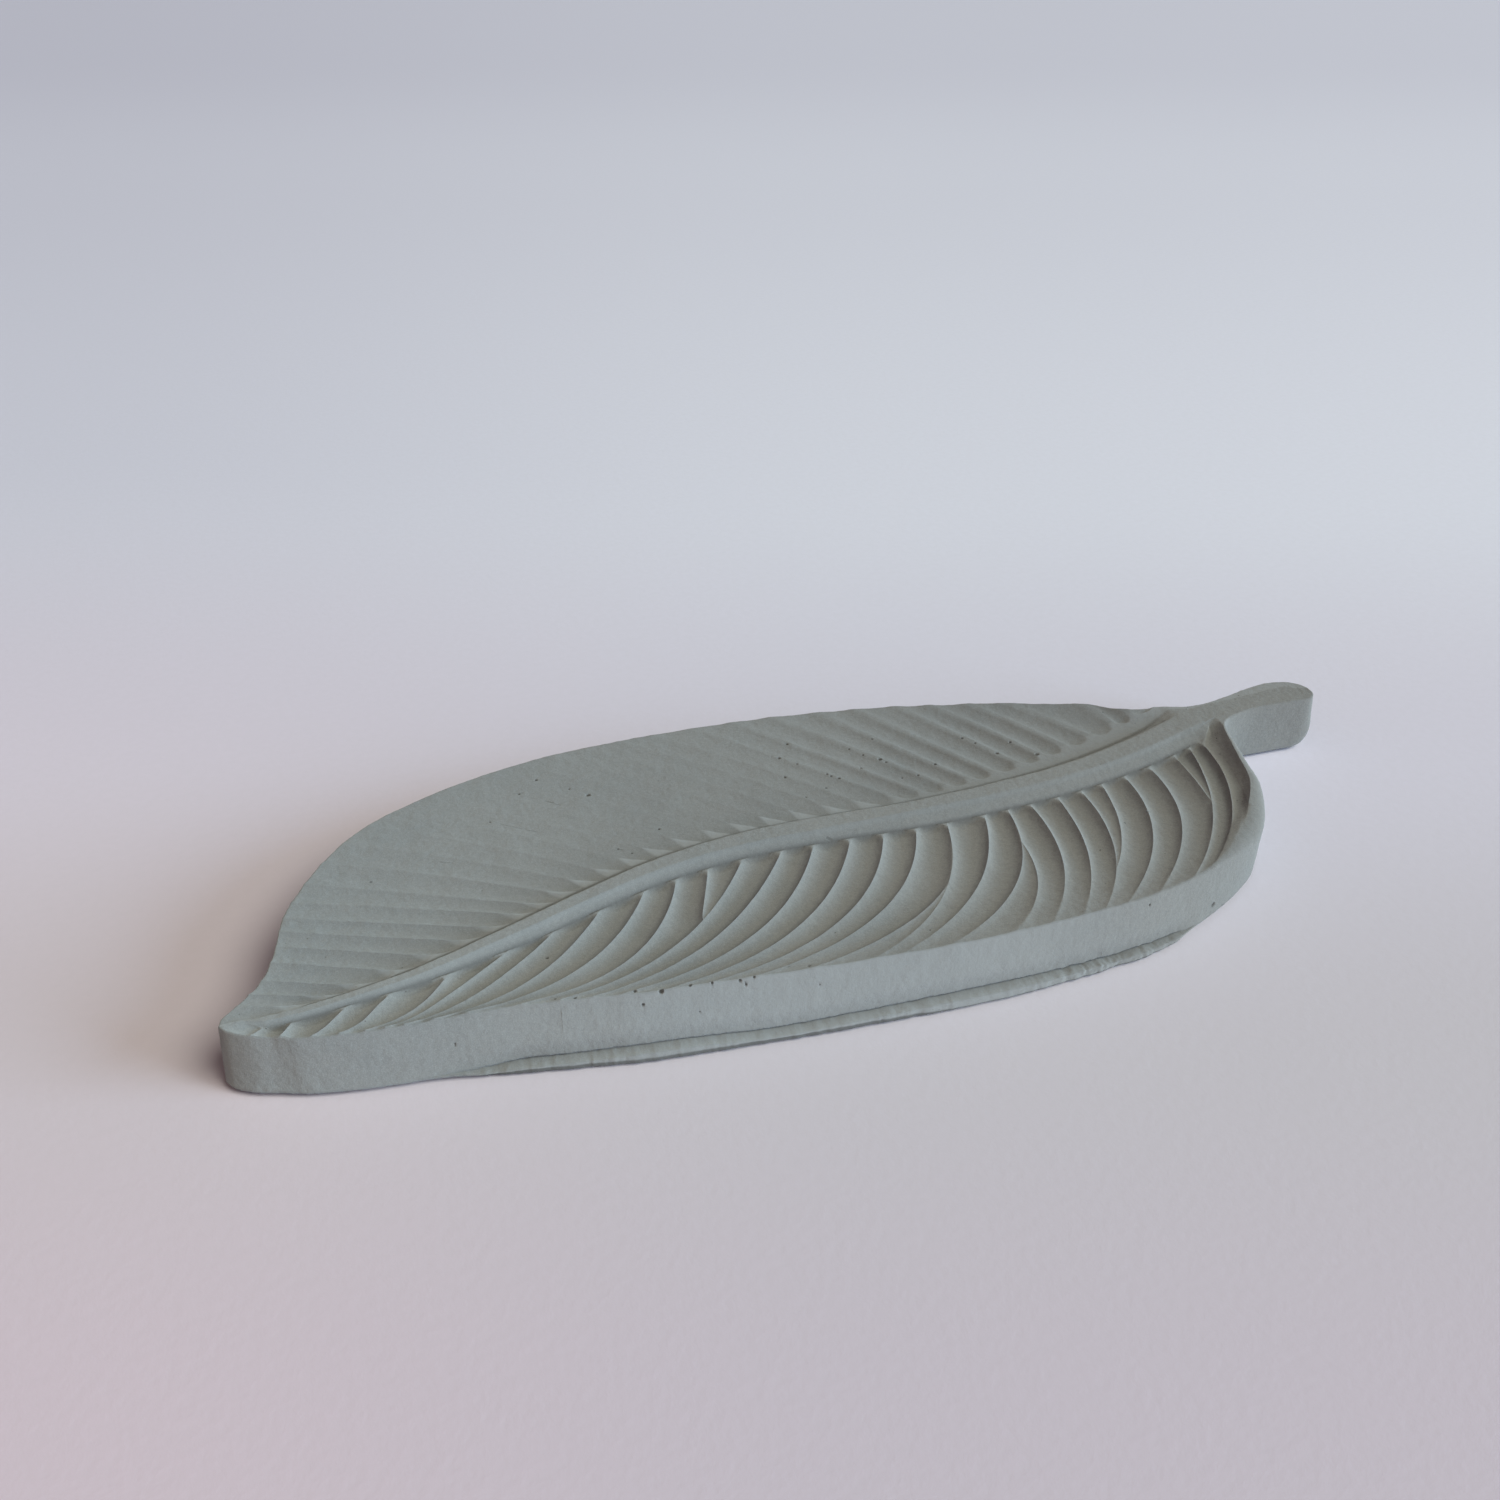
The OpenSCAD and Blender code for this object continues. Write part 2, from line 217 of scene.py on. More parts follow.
# Painted shade in the stone's colour: in the crease along the midrib's foot, on the crown, over the far
# half, in the hollow and the crevice over the lip, and on the walls round the tip, which face away from the
# light, and beside the neck
NEAR_CREASE_SHADE = 0.5
FAR_CREASE_SHADE = 0.2
CROWN_SHADE = 0.02
FAR_HALF_SHADE = 0.15
FAR_HALF_SHADE_RISE = (0, 0.05)
COVE_SHADE = 0.16
CREVICE_SHADE = 0.7
WALL_ENDS_SHADE = 0.09
WALL_TIP_RISE = (0.55, 0.15)
WALL_NECK_FALL = (0.14, 0.08)
WALL_NECK_RISE = (-0.1, 0.1)

# Painted contact shade along the lowest edge, where the wall meets the floor: its darkening, its height, and
# from where to where it is higher
FOOT_SHADE = 0.75
FOOT_SHADE_H = 0.5
FOOT_SHADE_FADE_H = 0.4
FOOT_SHADE_MORE_H = 0.6
FOOT_SHADE_MORE_FROM = 0.33
FOOT_SHADE_MORE_TO = 0.66
FOOT_SHADE_MORE_FADE = 0.05
FOOT_SHADE_RAGGED = 0.25

# Painted highlight on the midrib's near side, where its round edge catches the light
RIB_HIGHLIGHT = 0.3
RIB_HIGHLIGHT_W = 0.32
RIB_HIGHLIGHT_RISE = (0, 0.05)

# Painted light on the lands between the heads of the far flutes, which face the light
LAND_HIGHLIGHT = 0.8
LAND_HEAD_SHARE = 0.8
LAND_STEEPNESS = 3
LAND_FADE_L = 1.2
LAND_START_RISE = (0.3, 0.4)

# Painted light on the teeth, the crests between the far flutes that catch the light, in their place towards
# the tip, and the share across a flute where a tooth starts
TOOTH_HIGHLIGHT = 1.5
TOOTH_L = 6.0
TOOTH_FROM = 0.2
TOOTH_FADE = 0.2
TOOTH_START_RISE = (0.2, 0.3)
TEETH_RISE = (0.27, 0.1)

# Middle of the midrib, from the tip: share of the length, share of the width
SPINE = [
    (-0.024, 0.026), (0.013, 0.008), (0.056, -0.006), (0.129, 0.002), (0.201, 0.037), (0.273, 0.080),
    (0.345, 0.113), (0.418, 0.116), (0.498, 0.087), (0.570, 0.052), (0.643, 0.031), (0.715, 0.023),
    (0.787, 0.037), (0.859, 0.068), (0.932, 0.078), (1.004, 0.074),
]

# Half width of the crown, from the tip: share of the length, share of half the rib width
CROWN = [
    (0, 0.15), (0.129, 0.17), (0.273, 0.24), (0.418, 0.42), (0.570, 0.61), (0.715, 0.77),
    (0.859, 1), (0.888, 0.85), (0.908, 0.60), (0.950, 0.30), (1.012, 0.20),
]

# Rows across each half: place (-1 stem end, 0 first vein, 1 tip), foot, two rim shares, bow, flare, dish
NEAR = [
    (-1.000, 0.986, 1.001, 0.060, 0, 0.7, 0),
    (-0.930, 0.985, 0.998, 0.032, 0, 0.6, 0),
    (-0.860, 0.982, 0.989, 0.020, 0, 0.2, 0),
    (-0.740, 0.964, 0.968, 0.028, 0, 0, 0),
    (-0.580, 0.928, 0.932, 0.043, 0, 0, 0),
    (-0.450, 0.906, 0.908, 0.041, 0, 0, 0),
    (-0.360, 0.892, 0.893, 0.031, 0, 0, 0),
    (-0.300, 0.886, 0.886, 0.012, 0, 0, 0),
    (-0.240, 0.882, 0.877, -0.045, 0, 0, 0.8),
    (-0.180, 0.879, 0.866, -0.115, 0.01, 0, 1),
    (-0.120, 0.875, 0.853, -0.200, 0.03, -0.1, 1),
    (-0.060, 0.869, 0.830, -0.280, 0.06, -0.2, 1),
    (0.000, 0.857, 0.796, -0.348, 0.09, -0.1, 1),
    (0.100, 0.796, 0.715, -0.408, 0.11, 0.6, 1),
    (0.225, 0.698, 0.625, -0.414, 0.10, 1, 1),
    (0.353, 0.608, 0.482, -0.365, 0.14, 0.9, 1),
    (0.483, 0.498, 0.289, -0.247, 0.14, 1.4, 1),
    (0.550, 0.442, 0.229, -0.198, 0.145, 1.4, 1),
    (0.612, 0.386, 0.182, -0.161, 0.15, 1.1, 1),
    (0.741, 0.259, 0.104, -0.122, 0.12, 0.5, 1),
    (0.871, 0.108, 0.051, -0.082, 0.05, 0.3, 1),
    (0.931, 0.049, 0.030, -0.053, 0.02, 0.3, 1),
    (0.966, 0.030, 0.016, -0.034, 0, 0.4, 1),
    (0.985, 0.021, 0.004, -0.007, 0, 0.6, 0.5),
    (1.000, 0.017, 0.000, 0.013, 0, 0.7, 0),
]
FAR = [
    (-1.000, 0.986, 1.001, 0.060, 0, 0.7, 0),
    (-0.920, 0.985, 0.998, 0.085, 0, 0.6, 0),
    (-0.840, 0.981, 0.990, 0.105, 0, 0.2, 0),
    (-0.740, 0.970, 0.974, 0.121, 0, 0, 0),
    (-0.620, 0.950, 0.953, 0.124, 0, 0, 0),
    (-0.480, 0.927, 0.927, 0.118, 0, 0, 0),
    (-0.340, 0.900, 0.900, 0.112, 0, 0.2, 0),
    (-0.200, 0.881, 0.879, 0.119, 0, 0.5, 0),
    (-0.100, 0.871, 0.867, 0.131, 0, 0.6, 0),
    (0.000, 0.855, 0.850, 0.152, 0, 0.8, 0.1),
    (0.030, 0.827, 0.821, 0.180, 0, 1, 1),
    (0.060, 0.804, 0.796, 0.236, 0, 1, 1),
    (0.125, 0.736, 0.698, 0.364, 0.02, 1, 1),
    (0.250, 0.628, 0.559, 0.493, 0.02, 1, 1),
    (0.375, 0.524, 0.406, 0.569, 0.03, 1, 1),
    (0.500, 0.420, 0.277, 0.582, 0.03, 1, 1),
    (0.625, 0.318, 0.150, 0.499, 0.02, 1, 1),
    (0.750, 0.223, 0.076, 0.319, 0, 1, 1),
    (0.875, 0.129, 0.046, 0.151, 0, 1, 1),
    (0.910, 0.105, 0.035, 0.103, 0, 1, 1),
    (0.970, 0.061, 0.014, 0.051, 0, 1, 1),
    (0.985, 0.040, 0.004, 0.033, 0, 0.9, 0.6),
    (1.000, 0.017, 0.000, 0.013, 0, 0.7, 0),
]
NEAR_SIDE = -1
FAR_SIDE = 1

# Round shoulder of the near rim beside the neck: place on the rim, share of its full width
SHOULDER = [
    (-1, 0), (-0.36, 0), (-0.30, 0.1), (-0.24, 0.28), (-0.18, 0.42), (-0.12, 0.68), (-0.06, 1), (0, 0.94),
    (0.02, 0.7), (0.04, 0.38), (0.06, 0.2), (0.09, 0.05), (0.12, 0), (1, 0),
]

# Depth of the far flutes: place, share of their full depth
FAR_DEPTH = [
    (0, 0.8), (0.2, 0.7), (0.28, 0.5), (0.38, 0.14), (0.6, 0.12), (0.7, 0.5), (0.85, 0.95), (1, 0.9),
]

# Width of the far flutes: place, share of the room between two arrises
FAR_WIDE = [(0, 0.8), (0.28, 0.84), (0.42, 1), (1, 1)]

# Height of the pour lip: place on the near rim, share of its full height
LIP = [
    (-1, 0.4), (0, 0.45), (0.15, 0.6), (0.25, 0.75), (0.34, 0.85), (0.39, 0.7), (0.43, 0.5), (0.475, 0.9),
    (0.51, 0.85), (0.55, 0.68), (0.61, 0.48), (0.65, 0.3), (0.7, 0.12), (1, 0.1),
]

# Paler stretch of the near wall: place on the near rim, share of the full effect
WALL_PALING = [(-1, 0), (0.08, 0), (0.2, 0.4), (0.32, 1), (0.4, 1), (0.5, 0.6), (0.6, 0.2), (0.66, 0), (1, 0)]

# Arrises between the flutes, as places in flutes from the first arris to the tip: at the foot, halfway
# and at the rim. The fourth column says which neighbour an arris joins: 1 the next one, -1 the one before.
# A last column above 0 says that the flute between the two ends bluntly at that share of the row.
NEAR_ARRISES = [
    (0.00, 0.65, 2.05, 0, 0), (0.85, 2.03, 3.00, 0, 0), (1.87, 2.05, 2.30, -1, 0.45),
    (3.20, 3.60, 4.60, 0, 0), (4.27, 4.78, 5.85, 0, 0), (5.16, 5.84, 7.09, 1, 0.68),
    (5.97, 6.23, 6.55, 0, 0), (6.90, 7.12, 7.13, 0, 0), (8.03, 7.99, 7.87, 0, 0), (9.51, 8.86, 8.65, 1, 0),
    (8.93, 9.36, 9.89, 0, 0), (9.82, 10.46, 10.70, 0, 0), (11.08, 11.20, 11.10, 0, 0),
    (10.65, 11.30, 11.95, -1, 0), (12.00, 12.33, 12.70, 0, 0), (12.92, 13.07, 13.30, 0, 0),
    (13.85, 13.95, 13.90, 0, 0), (14.93, 14.97, 14.80, 0, 0), (15.85, 16.10, 15.50, 0, 0),
    (16.95, 17.08, 16.30, 0, 0), (17.90, 16.65, 15.39, -1, 0.33), (18.75, 18.07, 17.25, 0, 0),
    (19.60, 19.38, 18.90, 0, 0), (20.75, 20.70, 19.90, 0, 0), (21.85, 22.00, 20.90, 0, 0),
    (22.80, 22.90, 21.60, 0, 0), (23.95, 23.40, 22.40, 0, 0), (25.00, 24.65, 23.60, 0, 0),
    (25.85, 25.60, 24.95, 0, 0), (27.05, 26.88, 26.55, 0, 0), (28.10, 28.00, 27.90, 0, 0),
    (29.00, 29.00, 29.00, 0, 0),
]
FAR_ARRISES = [(-0.5, -0.4, -0.1, 0, 0)] + [
    (j + foot, j + half, j + edge, 0, 0)
    for j, (foot, half, edge) in enumerate((
        (-0.30, -0.15, 0.00), (-0.22, -0.10, 0.05), (-0.25, 0.00, 0.45), (-0.30, -0.15, 0.15),
        (-0.35, -0.17, 0.05), (-0.35, -0.20, -0.05), (-0.30, -0.02, 0.10), (-0.32, 0.00, 0.08),
        (-0.38, -0.02, 0.25), (-0.42, 0.03, 0.20), (-0.50, 0.00, 0.10), (-0.30, 0.00, 0.15),
        (-0.22, -0.05, 0.10), (-0.12, 0.00, 0.12), (-0.10, 0.02, 0.05), (-0.06, 0.06, 0.00),
        (-0.12, 0.00, 0.00), (-0.08, 0.00, -0.05), (-0.05, -0.10, -0.20), (-0.10, -0.20, -0.30),
        (-0.15, -0.35, -0.35), (-0.25, -0.40, -0.32), (-0.35, -0.40, -0.25), (-0.50, -0.30, -0.10),
        (-0.70, -0.45, 0.00), (-0.75, -0.40, 0.00), (-0.70, -0.40, -0.08), (-0.50, -0.30, -0.05),
        (-0.25, -0.15, -0.03), (0.10, 0.05, 0.00), (0.20, 0.10, 0.05), (0.05, 0.02, 0.00),
    ), 1)
] + [(33, 33, 33, 0, 0)]

# Air pits and scratches that show in the photograph, in its pixels: from, to, then the radius in millimetres
PITS = [
    (x, y, x, y, r)
    for x, y, r in (
        (555, 999, 0.25), (575, 998, 0.3), (635, 991, 0.35), (661, 991, 0.55), (690, 985, 0.35),
        (712, 983, 0.3), (740, 981, 0.35), (754, 977, 0.3), (746, 985, 0.3), (643, 1005, 0.35),
        (809, 966, 0.35), (547, 958, 0.35), (588, 795, 0.5), (536, 780, 0.35), (519, 794, 0.3),
        (490, 822, 0.25), (569, 789, 0.25), (618, 849, 0.25), (632, 853, 0.25), (659, 829, 0.3),
        (787, 744, 0.35), (779, 758, 0.4), (797, 764, 0.25), (785, 777, 0.35), (826, 788, 0.3),
        (806, 797, 0.25), (880, 759, 0.5), (886, 762, 0.3), (861, 768, 0.3), (827, 774, 0.3),
        (831, 776, 0.3), (839, 778, 0.35), (849, 749, 0.25), (863, 755, 0.25), (872, 739, 0.25),
        (918, 775, 0.3), (935, 764, 0.4), (962, 738, 0.35), (975, 743, 0.3), (997, 753, 0.45),
        (1010, 742, 0.35), (1037, 754, 0.5), (1148, 811, 0.35), (1213, 905, 0.6), (902, 778, 0.25),
        (1150, 905, 0.3), (700, 1012, 0.2), (455, 1044, 0.2), (930, 930, 0.2), (1100, 850, 0.2),
        (820, 985, 0.2),
    )
] + [
    (545, 801, 553, 803, 0.2), (555, 804, 560, 805, 0.14), (500, 824, 522, 829, 0.12),
    (526, 830, 537, 832, 0.13), (827, 838, 831, 840, 0.35), (513, 794, 523, 793, 0.12),
    (440, 862, 452, 863, 0.12), (616, 848, 622, 850, 0.14),
]

# Small pits at random places: number, radii, depths as shares of the radius, seed
RANDOM_PITS = 90
RANDOM_RADII = (0.07, 0.2)
RANDOM_SHARES = (0.4, 0.8)
RANDOM_SEED = 7

# How deep pits and scratches are, as shares of their radius, and the finer faces round them
PIT_SHARE = 0.9
SCRATCH_SHARE = 0.4
PIT_ROOM = 0.3
PIT_CUTS = 3

# Colours of the stone, and the most that each takes over those before it
STONE_COOL = (0.266, 0.282, 0.280)
STONE_WARM = (0.296, 0.310, 0.304)
STONE_PATCH = (0.290, 0.296, 0.288)
PATCH_SHARE = 0.5
STONE_GRAIN = (0.16, 0.17, 0.17)
GRAIN_SHARE = 0.2
STONE_SAND = (0.42, 0.44, 0.42)
SAND_SHARE = 0.34
STONE_PORE = (0.07, 0.07, 0.07)
PORE_SHARE = 0.6
# Colour of painted light on the midrib and the far flutes, and of the paler stretch of the near wall
STONE_PALE = (0.395, 0.425, 0.435)
PALE_SHARE = 0.55
# Colour of painted shade, which the darkening of each point mixes in
PAINTED_SHADE_COLOUR = (0.045, 0.043, 0.04)
PAINTED_SHADE_SHARE = 0.85

# Colours of the rubber
RUBBER_DARK = (0.016, 0.016, 0.017)
RUBBER_LIGHT = (0.027, 0.027, 0.028)

# Colour of the paper with the fall of light over it painted in, by share of this distance in metres from the
# camera's foot, and painted light and shade at its sides
PAPER_REACH = 1.5
PAPER_LIGHT_STOPS = [
    (0.08, (0.70, 0.625, 0.695)), (0.133, (0.68, 0.64, 0.685)), (0.2, (0.765, 0.735, 0.82)),
    (0.3, (0.82, 0.825, 0.905)), (0.6, (0.77, 0.77, 0.85)), (0.93, (0.71, 0.705, 0.79)),
]
PAPER_LEFT_FRONT_LIGHT = (1.09, 1.03, 1.02)
PAPER_LEFT_BACK_SHADE = (0.88, 0.865, 0.885)
PAPER_RIGHT_BACK_LIGHT = (1.05, 1.05, 1.05)
PAPER_LEFT_FADE = (-0.45, 0.1)
PAPER_RIGHT_FADE = (0.0, 0.5)
PAPER_BACK_FADE = (0.2, 0.5)
PAPER_FIBRE = (0.55, 0.53, 0.54)
FIBRE_SHARE = 0.05

# Reach of the paper floor from the frame's origin, in metres
FLOOR_REACH = 6.0

# Light of the room: its warm side, from where to where it turns warm, and its cool and warm colours
ROOM_WARM_SIDE = (-0.72, -0.55, -0.42)
ROOM_FADE = (-0.6, 0.8)
ROOM = [(0, (0.03, 0.035, 0.04)), (1, (0.42, 0.31, 0.29))]

# Samples of the surface: rows along the leaf, and columns over each stretch of a row
STEM_ROWS = 70
NECK_ROWS = 100
FIRST_ROW = STEM_ROWS + NECK_ROWS
NECK_AT = -0.3
NEAR_CELL_ROWS = 22
FAR_CELL_ROWS = 18
CROWN_COLUMNS = 5
SIDE_COLUMNS = 14
VEIN_COLUMNS = 120
VEIN_SPACING = 1.12
EDGE_COLUMNS = 8
WALL_COLUMNS = 24
WALL_SPACING = 1.8
LIP_COLUMNS = 6
FOOT_COLUMNS = 8


def clip(a, low=0.0, high=1.0):
    return np.minimum(np.maximum(a, low), high)


def smooth(a):
    a = clip(a)
    return a * a * (3 - 2 * a)


def rise(x, start, width):
    """Smooth rise from 0 at the start to 1 a width after it."""
    return smooth((x - start) / width)


def fall(x, end, width):
    """Smooth fall from 1 to 0, over a width before the end."""
    return smooth((end - x) / width)


def shares(columns):
    """Even shares of a stretch up to and with its end."""
    return np.arange(1, columns + 1) / columns


def round_corner(columns):
    """For each column round a quarter turn: 1 less its sine, and 1 less its cosine."""
    for s in shares(columns):
        turn = s * math.pi / 2
        yield 1 - math.sin(turn), 1 - math.cos(turn)


def value(table, column, x):
    """Smooth value of a column of a table at the places x of its first column."""
    table = np.array(table, float)
    keys = table[:, 0]
    ys = table[:, column]
    last = len(keys) - 1
    low = np.maximum(np.arange(last + 1) - 1, 0)
    high = np.minimum(np.arange(last + 1) + 1, last)
    rates = (ys[high] - ys[low]) / (keys[high] - keys[low])
    i = np.clip(np.searchsorted(keys, x, side="right") - 1, 0, last - 1)
    h = keys[i + 1] - keys[i]
    u = (x - keys[i]) / h
    w = 1 - u
    ends = w * w * (1 + 2 * u) * ys[i] + u * u * (1 + 2 * w) * ys[i + 1]
    return ends + u * w * h * (w * rates[i] - u * rates[i + 1])


def rim(table, t):
    return np.stack([TRAY_L * value(table, 2, t), TRAY_W * value(table, 3, t)], -1)


def to_line(points, line):
    """Distance in plan of each point from a line of points."""
    start = line[:-1]
    step = line[1:] - start
    apart = points[..., None, :] - start
    k = clip((apart * step).sum(-1) / np.maximum((step * step).sum(-1), 1e-9))
    return np.linalg.norm(apart - k[..., None] * step, axis=-1).min(-1)


def hills(points, size, seed):
    """Smooth irregular heights between about -1 and 1 over points in millimetres."""
    flat = points.reshape(-1, 3) / size + seed
    heights = [noise.noise(Vector(p)) for p in flat.tolist()]
    return 2 * np.array(heights).reshape(points.shape[:-1])


def hill_layers(points, layers):
    return sum(height * hills(points, size, seed) for height, size, seed in layers)


def groove(side, head):
    """Share of a flute's depth, from the shares that its side and its head take away."""
    return np.maximum(0, 1 - side - head * head)


class Half:
    """One half of the leaf: values of its rows at any places t."""

    def __init__(self, table, side, flutes, cell_rows, arrises):
        self.table = table
        self.side = side
        self.near = side == NEAR_SIDE
        self.flutes = flutes
        self.cell_rows = cell_rows
        self.arrises = np.array(arrises, float)
        self.round_power = NEAR_ROUND_POWER if self.near else FAR_ROUND_POWER
        self.crease_shade = NEAR_CREASE_SHADE if self.near else FAR_CREASE_SHADE

    def x_share(self, t):
        return value(self.table, 1, t)

    def ends_fade(self, t):
        return clip((1 - t) * self.flutes) * clip((1 + t) * STEM_FADE_RATE)

    def crown(self, t):
        return RIB_W / 2 * value(CROWN, 1, self.x_share(t)) * self.ends_fade(t)

    def middle(self, t):
        return TRAY_W * value(SPINE, 1, self.x_share(t))

    def at_tip(self, t):
        return clip(self.x_share(t) / TIP_RIB_TO, TIP_RIB_SHARE, 1)

    def side_w(self, t):
        neck = clip(1 + t * NECK_FADE_RATE, NECK_SIDE_SHARE, 1)
        return RIB_SIDE_W * self.at_tip(t) * neck * self.ends_fade(t)

    def side_fallen(self, s):
        """Share of its height that the midrib's side has fallen at the share s of its width."""
        step, step_w, even = NEAR_SIDE_FALLS if self.near else FAR_SIDE_FALLS
        return step * smooth(s / step_w) + even * s

    def foot(self, t):
        y = self.middle(t) + self.side * (self.crown(t) + self.side_w(t))
        return np.stack([TRAY_L * self.x_share(t), y], -1)

    def crown_shift(self, t):
        """How much wider the near half of the crown is towards the tip."""
        return CROWN_SHIFT * self.side_w(t) * rise(t, *CROWN_SHIFT_RISE) * self.near

    def drop(self, t):
        return RIB_RISE * self.at_tip(t) * clip(value(self.table, 6, t))

    def outward(self, t):
        """Direction in plan from the blade to the outside, along the rim."""
        ahead = rim(self.table, np.minimum(t + RIM_STEP, 1))
        behind = rim(self.table, np.maximum(t - RIM_STEP, -1))
        d = ahead - behind
        d /= np.linalg.norm(d, axis=-1, keepdims=True)
        out = self.side * np.stack([d[..., 1], -d[..., 0]], -1)
        out[t >= 1] = (-1, 0)
        out[t <= -1] = (1, 0)
        return out

    def shoulder(self, t):
        return SHOULDER_W * clip(value(SHOULDER, 1, t)) * self.near

    def flute_d(self, t):
        return NEAR_FLUTE_D if self.near else FAR_FLUTE_D * value(FAR_DEPTH, 1, clip(t))

    def run_share(self, t):
        """Share of its depth that a flute keeps at the rim."""
        if self.near:
            return NEAR_RUN + NEAR_RUN_MORE * rise(t, *NEAR_RUN_RISE)
        return FAR_RUN + FAR_RUN_MORE * smooth(1 - t / FAR_RUN_FADE) * clip(t / FAR_RUN_START)

    def run_power(self, t):
        return RUN_POWER + NEAR_RUN_POWER_MORE * rise(t, *NEAR_RUN_RISE) * self.near

    def wide(self, t):
        return 1.0 if self.near else value(FAR_WIDE, 1, clip(t))

    def gap(self, t):
        """How far from the midrib's foot the heads start."""
        end, width = HEAD_GAP_FALL
        return 0 if self.near else HEAD_GAP * clip((end - t) / width, LEAST_GAP_SHARE, 1)

    def head(self, t, along, across):
        """How far a point still is from the full flute: 1 at the flute's start, 0 past its head."""
        row_l = along[:, -1:]
        length = np.minimum(NEAR_HEAD_L if self.near else FAR_HEAD_L, HEAD_SHARE * row_l)
        if not self.near:
            return clip(1 - (along - self.gap(t)) / length)
        corner = np.minimum(HEAD_CORNER, CORNER_SHARE * row_l) * (1 - np.sqrt(1 - clip(-across) ** 2))
        return clip(1 - (along - corner) / length) ** NEAR_HEAD_POWER

    def flare(self, t):
        return WALL_FLARE * value(self.table, 5, t)

    def lip(self, t):
        return rise(t, *LIP_RISE) * fall(t, *LIP_FALL) * self.near

    def vein(self, t, v):
        """Points in plan at the shares v of the rows t."""
        foot = self.foot(t)
        inner = rim(self.table, t) - (EDGE_R + self.shoulder(t))[..., None] * self.outward(t)
        chord = inner - foot
        left = np.stack([-chord[..., 1], chord[..., 0]], -1)
        bow = -self.side * value(self.table, 4, t)
        middle = (foot + inner) / 2 + 2 * bow[..., None] * left
        v = v[..., None]
        return (1 - v) ** 2 * foot + 2 * v * (1 - v) * middle + v * v * inner

    def arris_places(self, v):
        """Place of each arris at the shares v, in flutes from the first arris."""
        start, half, end, joins, ends = self.arrises.T[:, :, None]
        b = 2 * (start + end - 2 * half)
        places = start + (end - start - b) * v + b * v * v
        for j in range(len(places)):
            beside = j + int(joins[j, 0])
            if ends[j] > 0:
                left = clip(1 - v / ends[j])
                places[j] = places[beside] + (start[j] - start[beside]) * left ** BLUNT_POWER
            elif joins[j] < 0:
                places[j] = np.maximum(places[j], places[beside])
            elif joins[j] > 0:
                places[j] = np.minimum(places[j], places[beside])
        return places

    def rows(self, v):
        """Places of all rows at the shares v, with the share across its flute and the flute's width."""
        places = self.arris_places(v) / self.flutes
        none = np.zeros_like(v)
        rows = [(none + t, -1.0, none) for t in np.linspace(-1, NECK_AT, STEM_ROWS, endpoint=False)]
        for t in np.linspace(NECK_AT, 0, NECK_ROWS, endpoint=False):
            shift = places[0] * (1 - t / NECK_AT) ** NECK_SHIFT_POWER
            rows.append((t + shift, t, none))
        for c in range(len(places) - 1):
            width = places[c + 1] - places[c]
            for i in range(self.cell_rows):
                share = i / self.cell_rows
                rows.append((places[c] + width * share, share, width * self.flutes))
        rows.append((none + 1, 1.0, none))
        t = np.array([r[0] for r in rows])
        share = np.array([r[1] for r in rows])
        width = np.array([r[2] for r in rows])
        return t, share, width


HALVES = (
    Half(NEAR, NEAR_SIDE, NEAR_FLUTES, NEAR_CELL_ROWS, NEAR_ARRISES),
    Half(FAR, FAR_SIDE, FAR_FLUTES, FAR_CELL_ROWS, FAR_ARRISES),
)


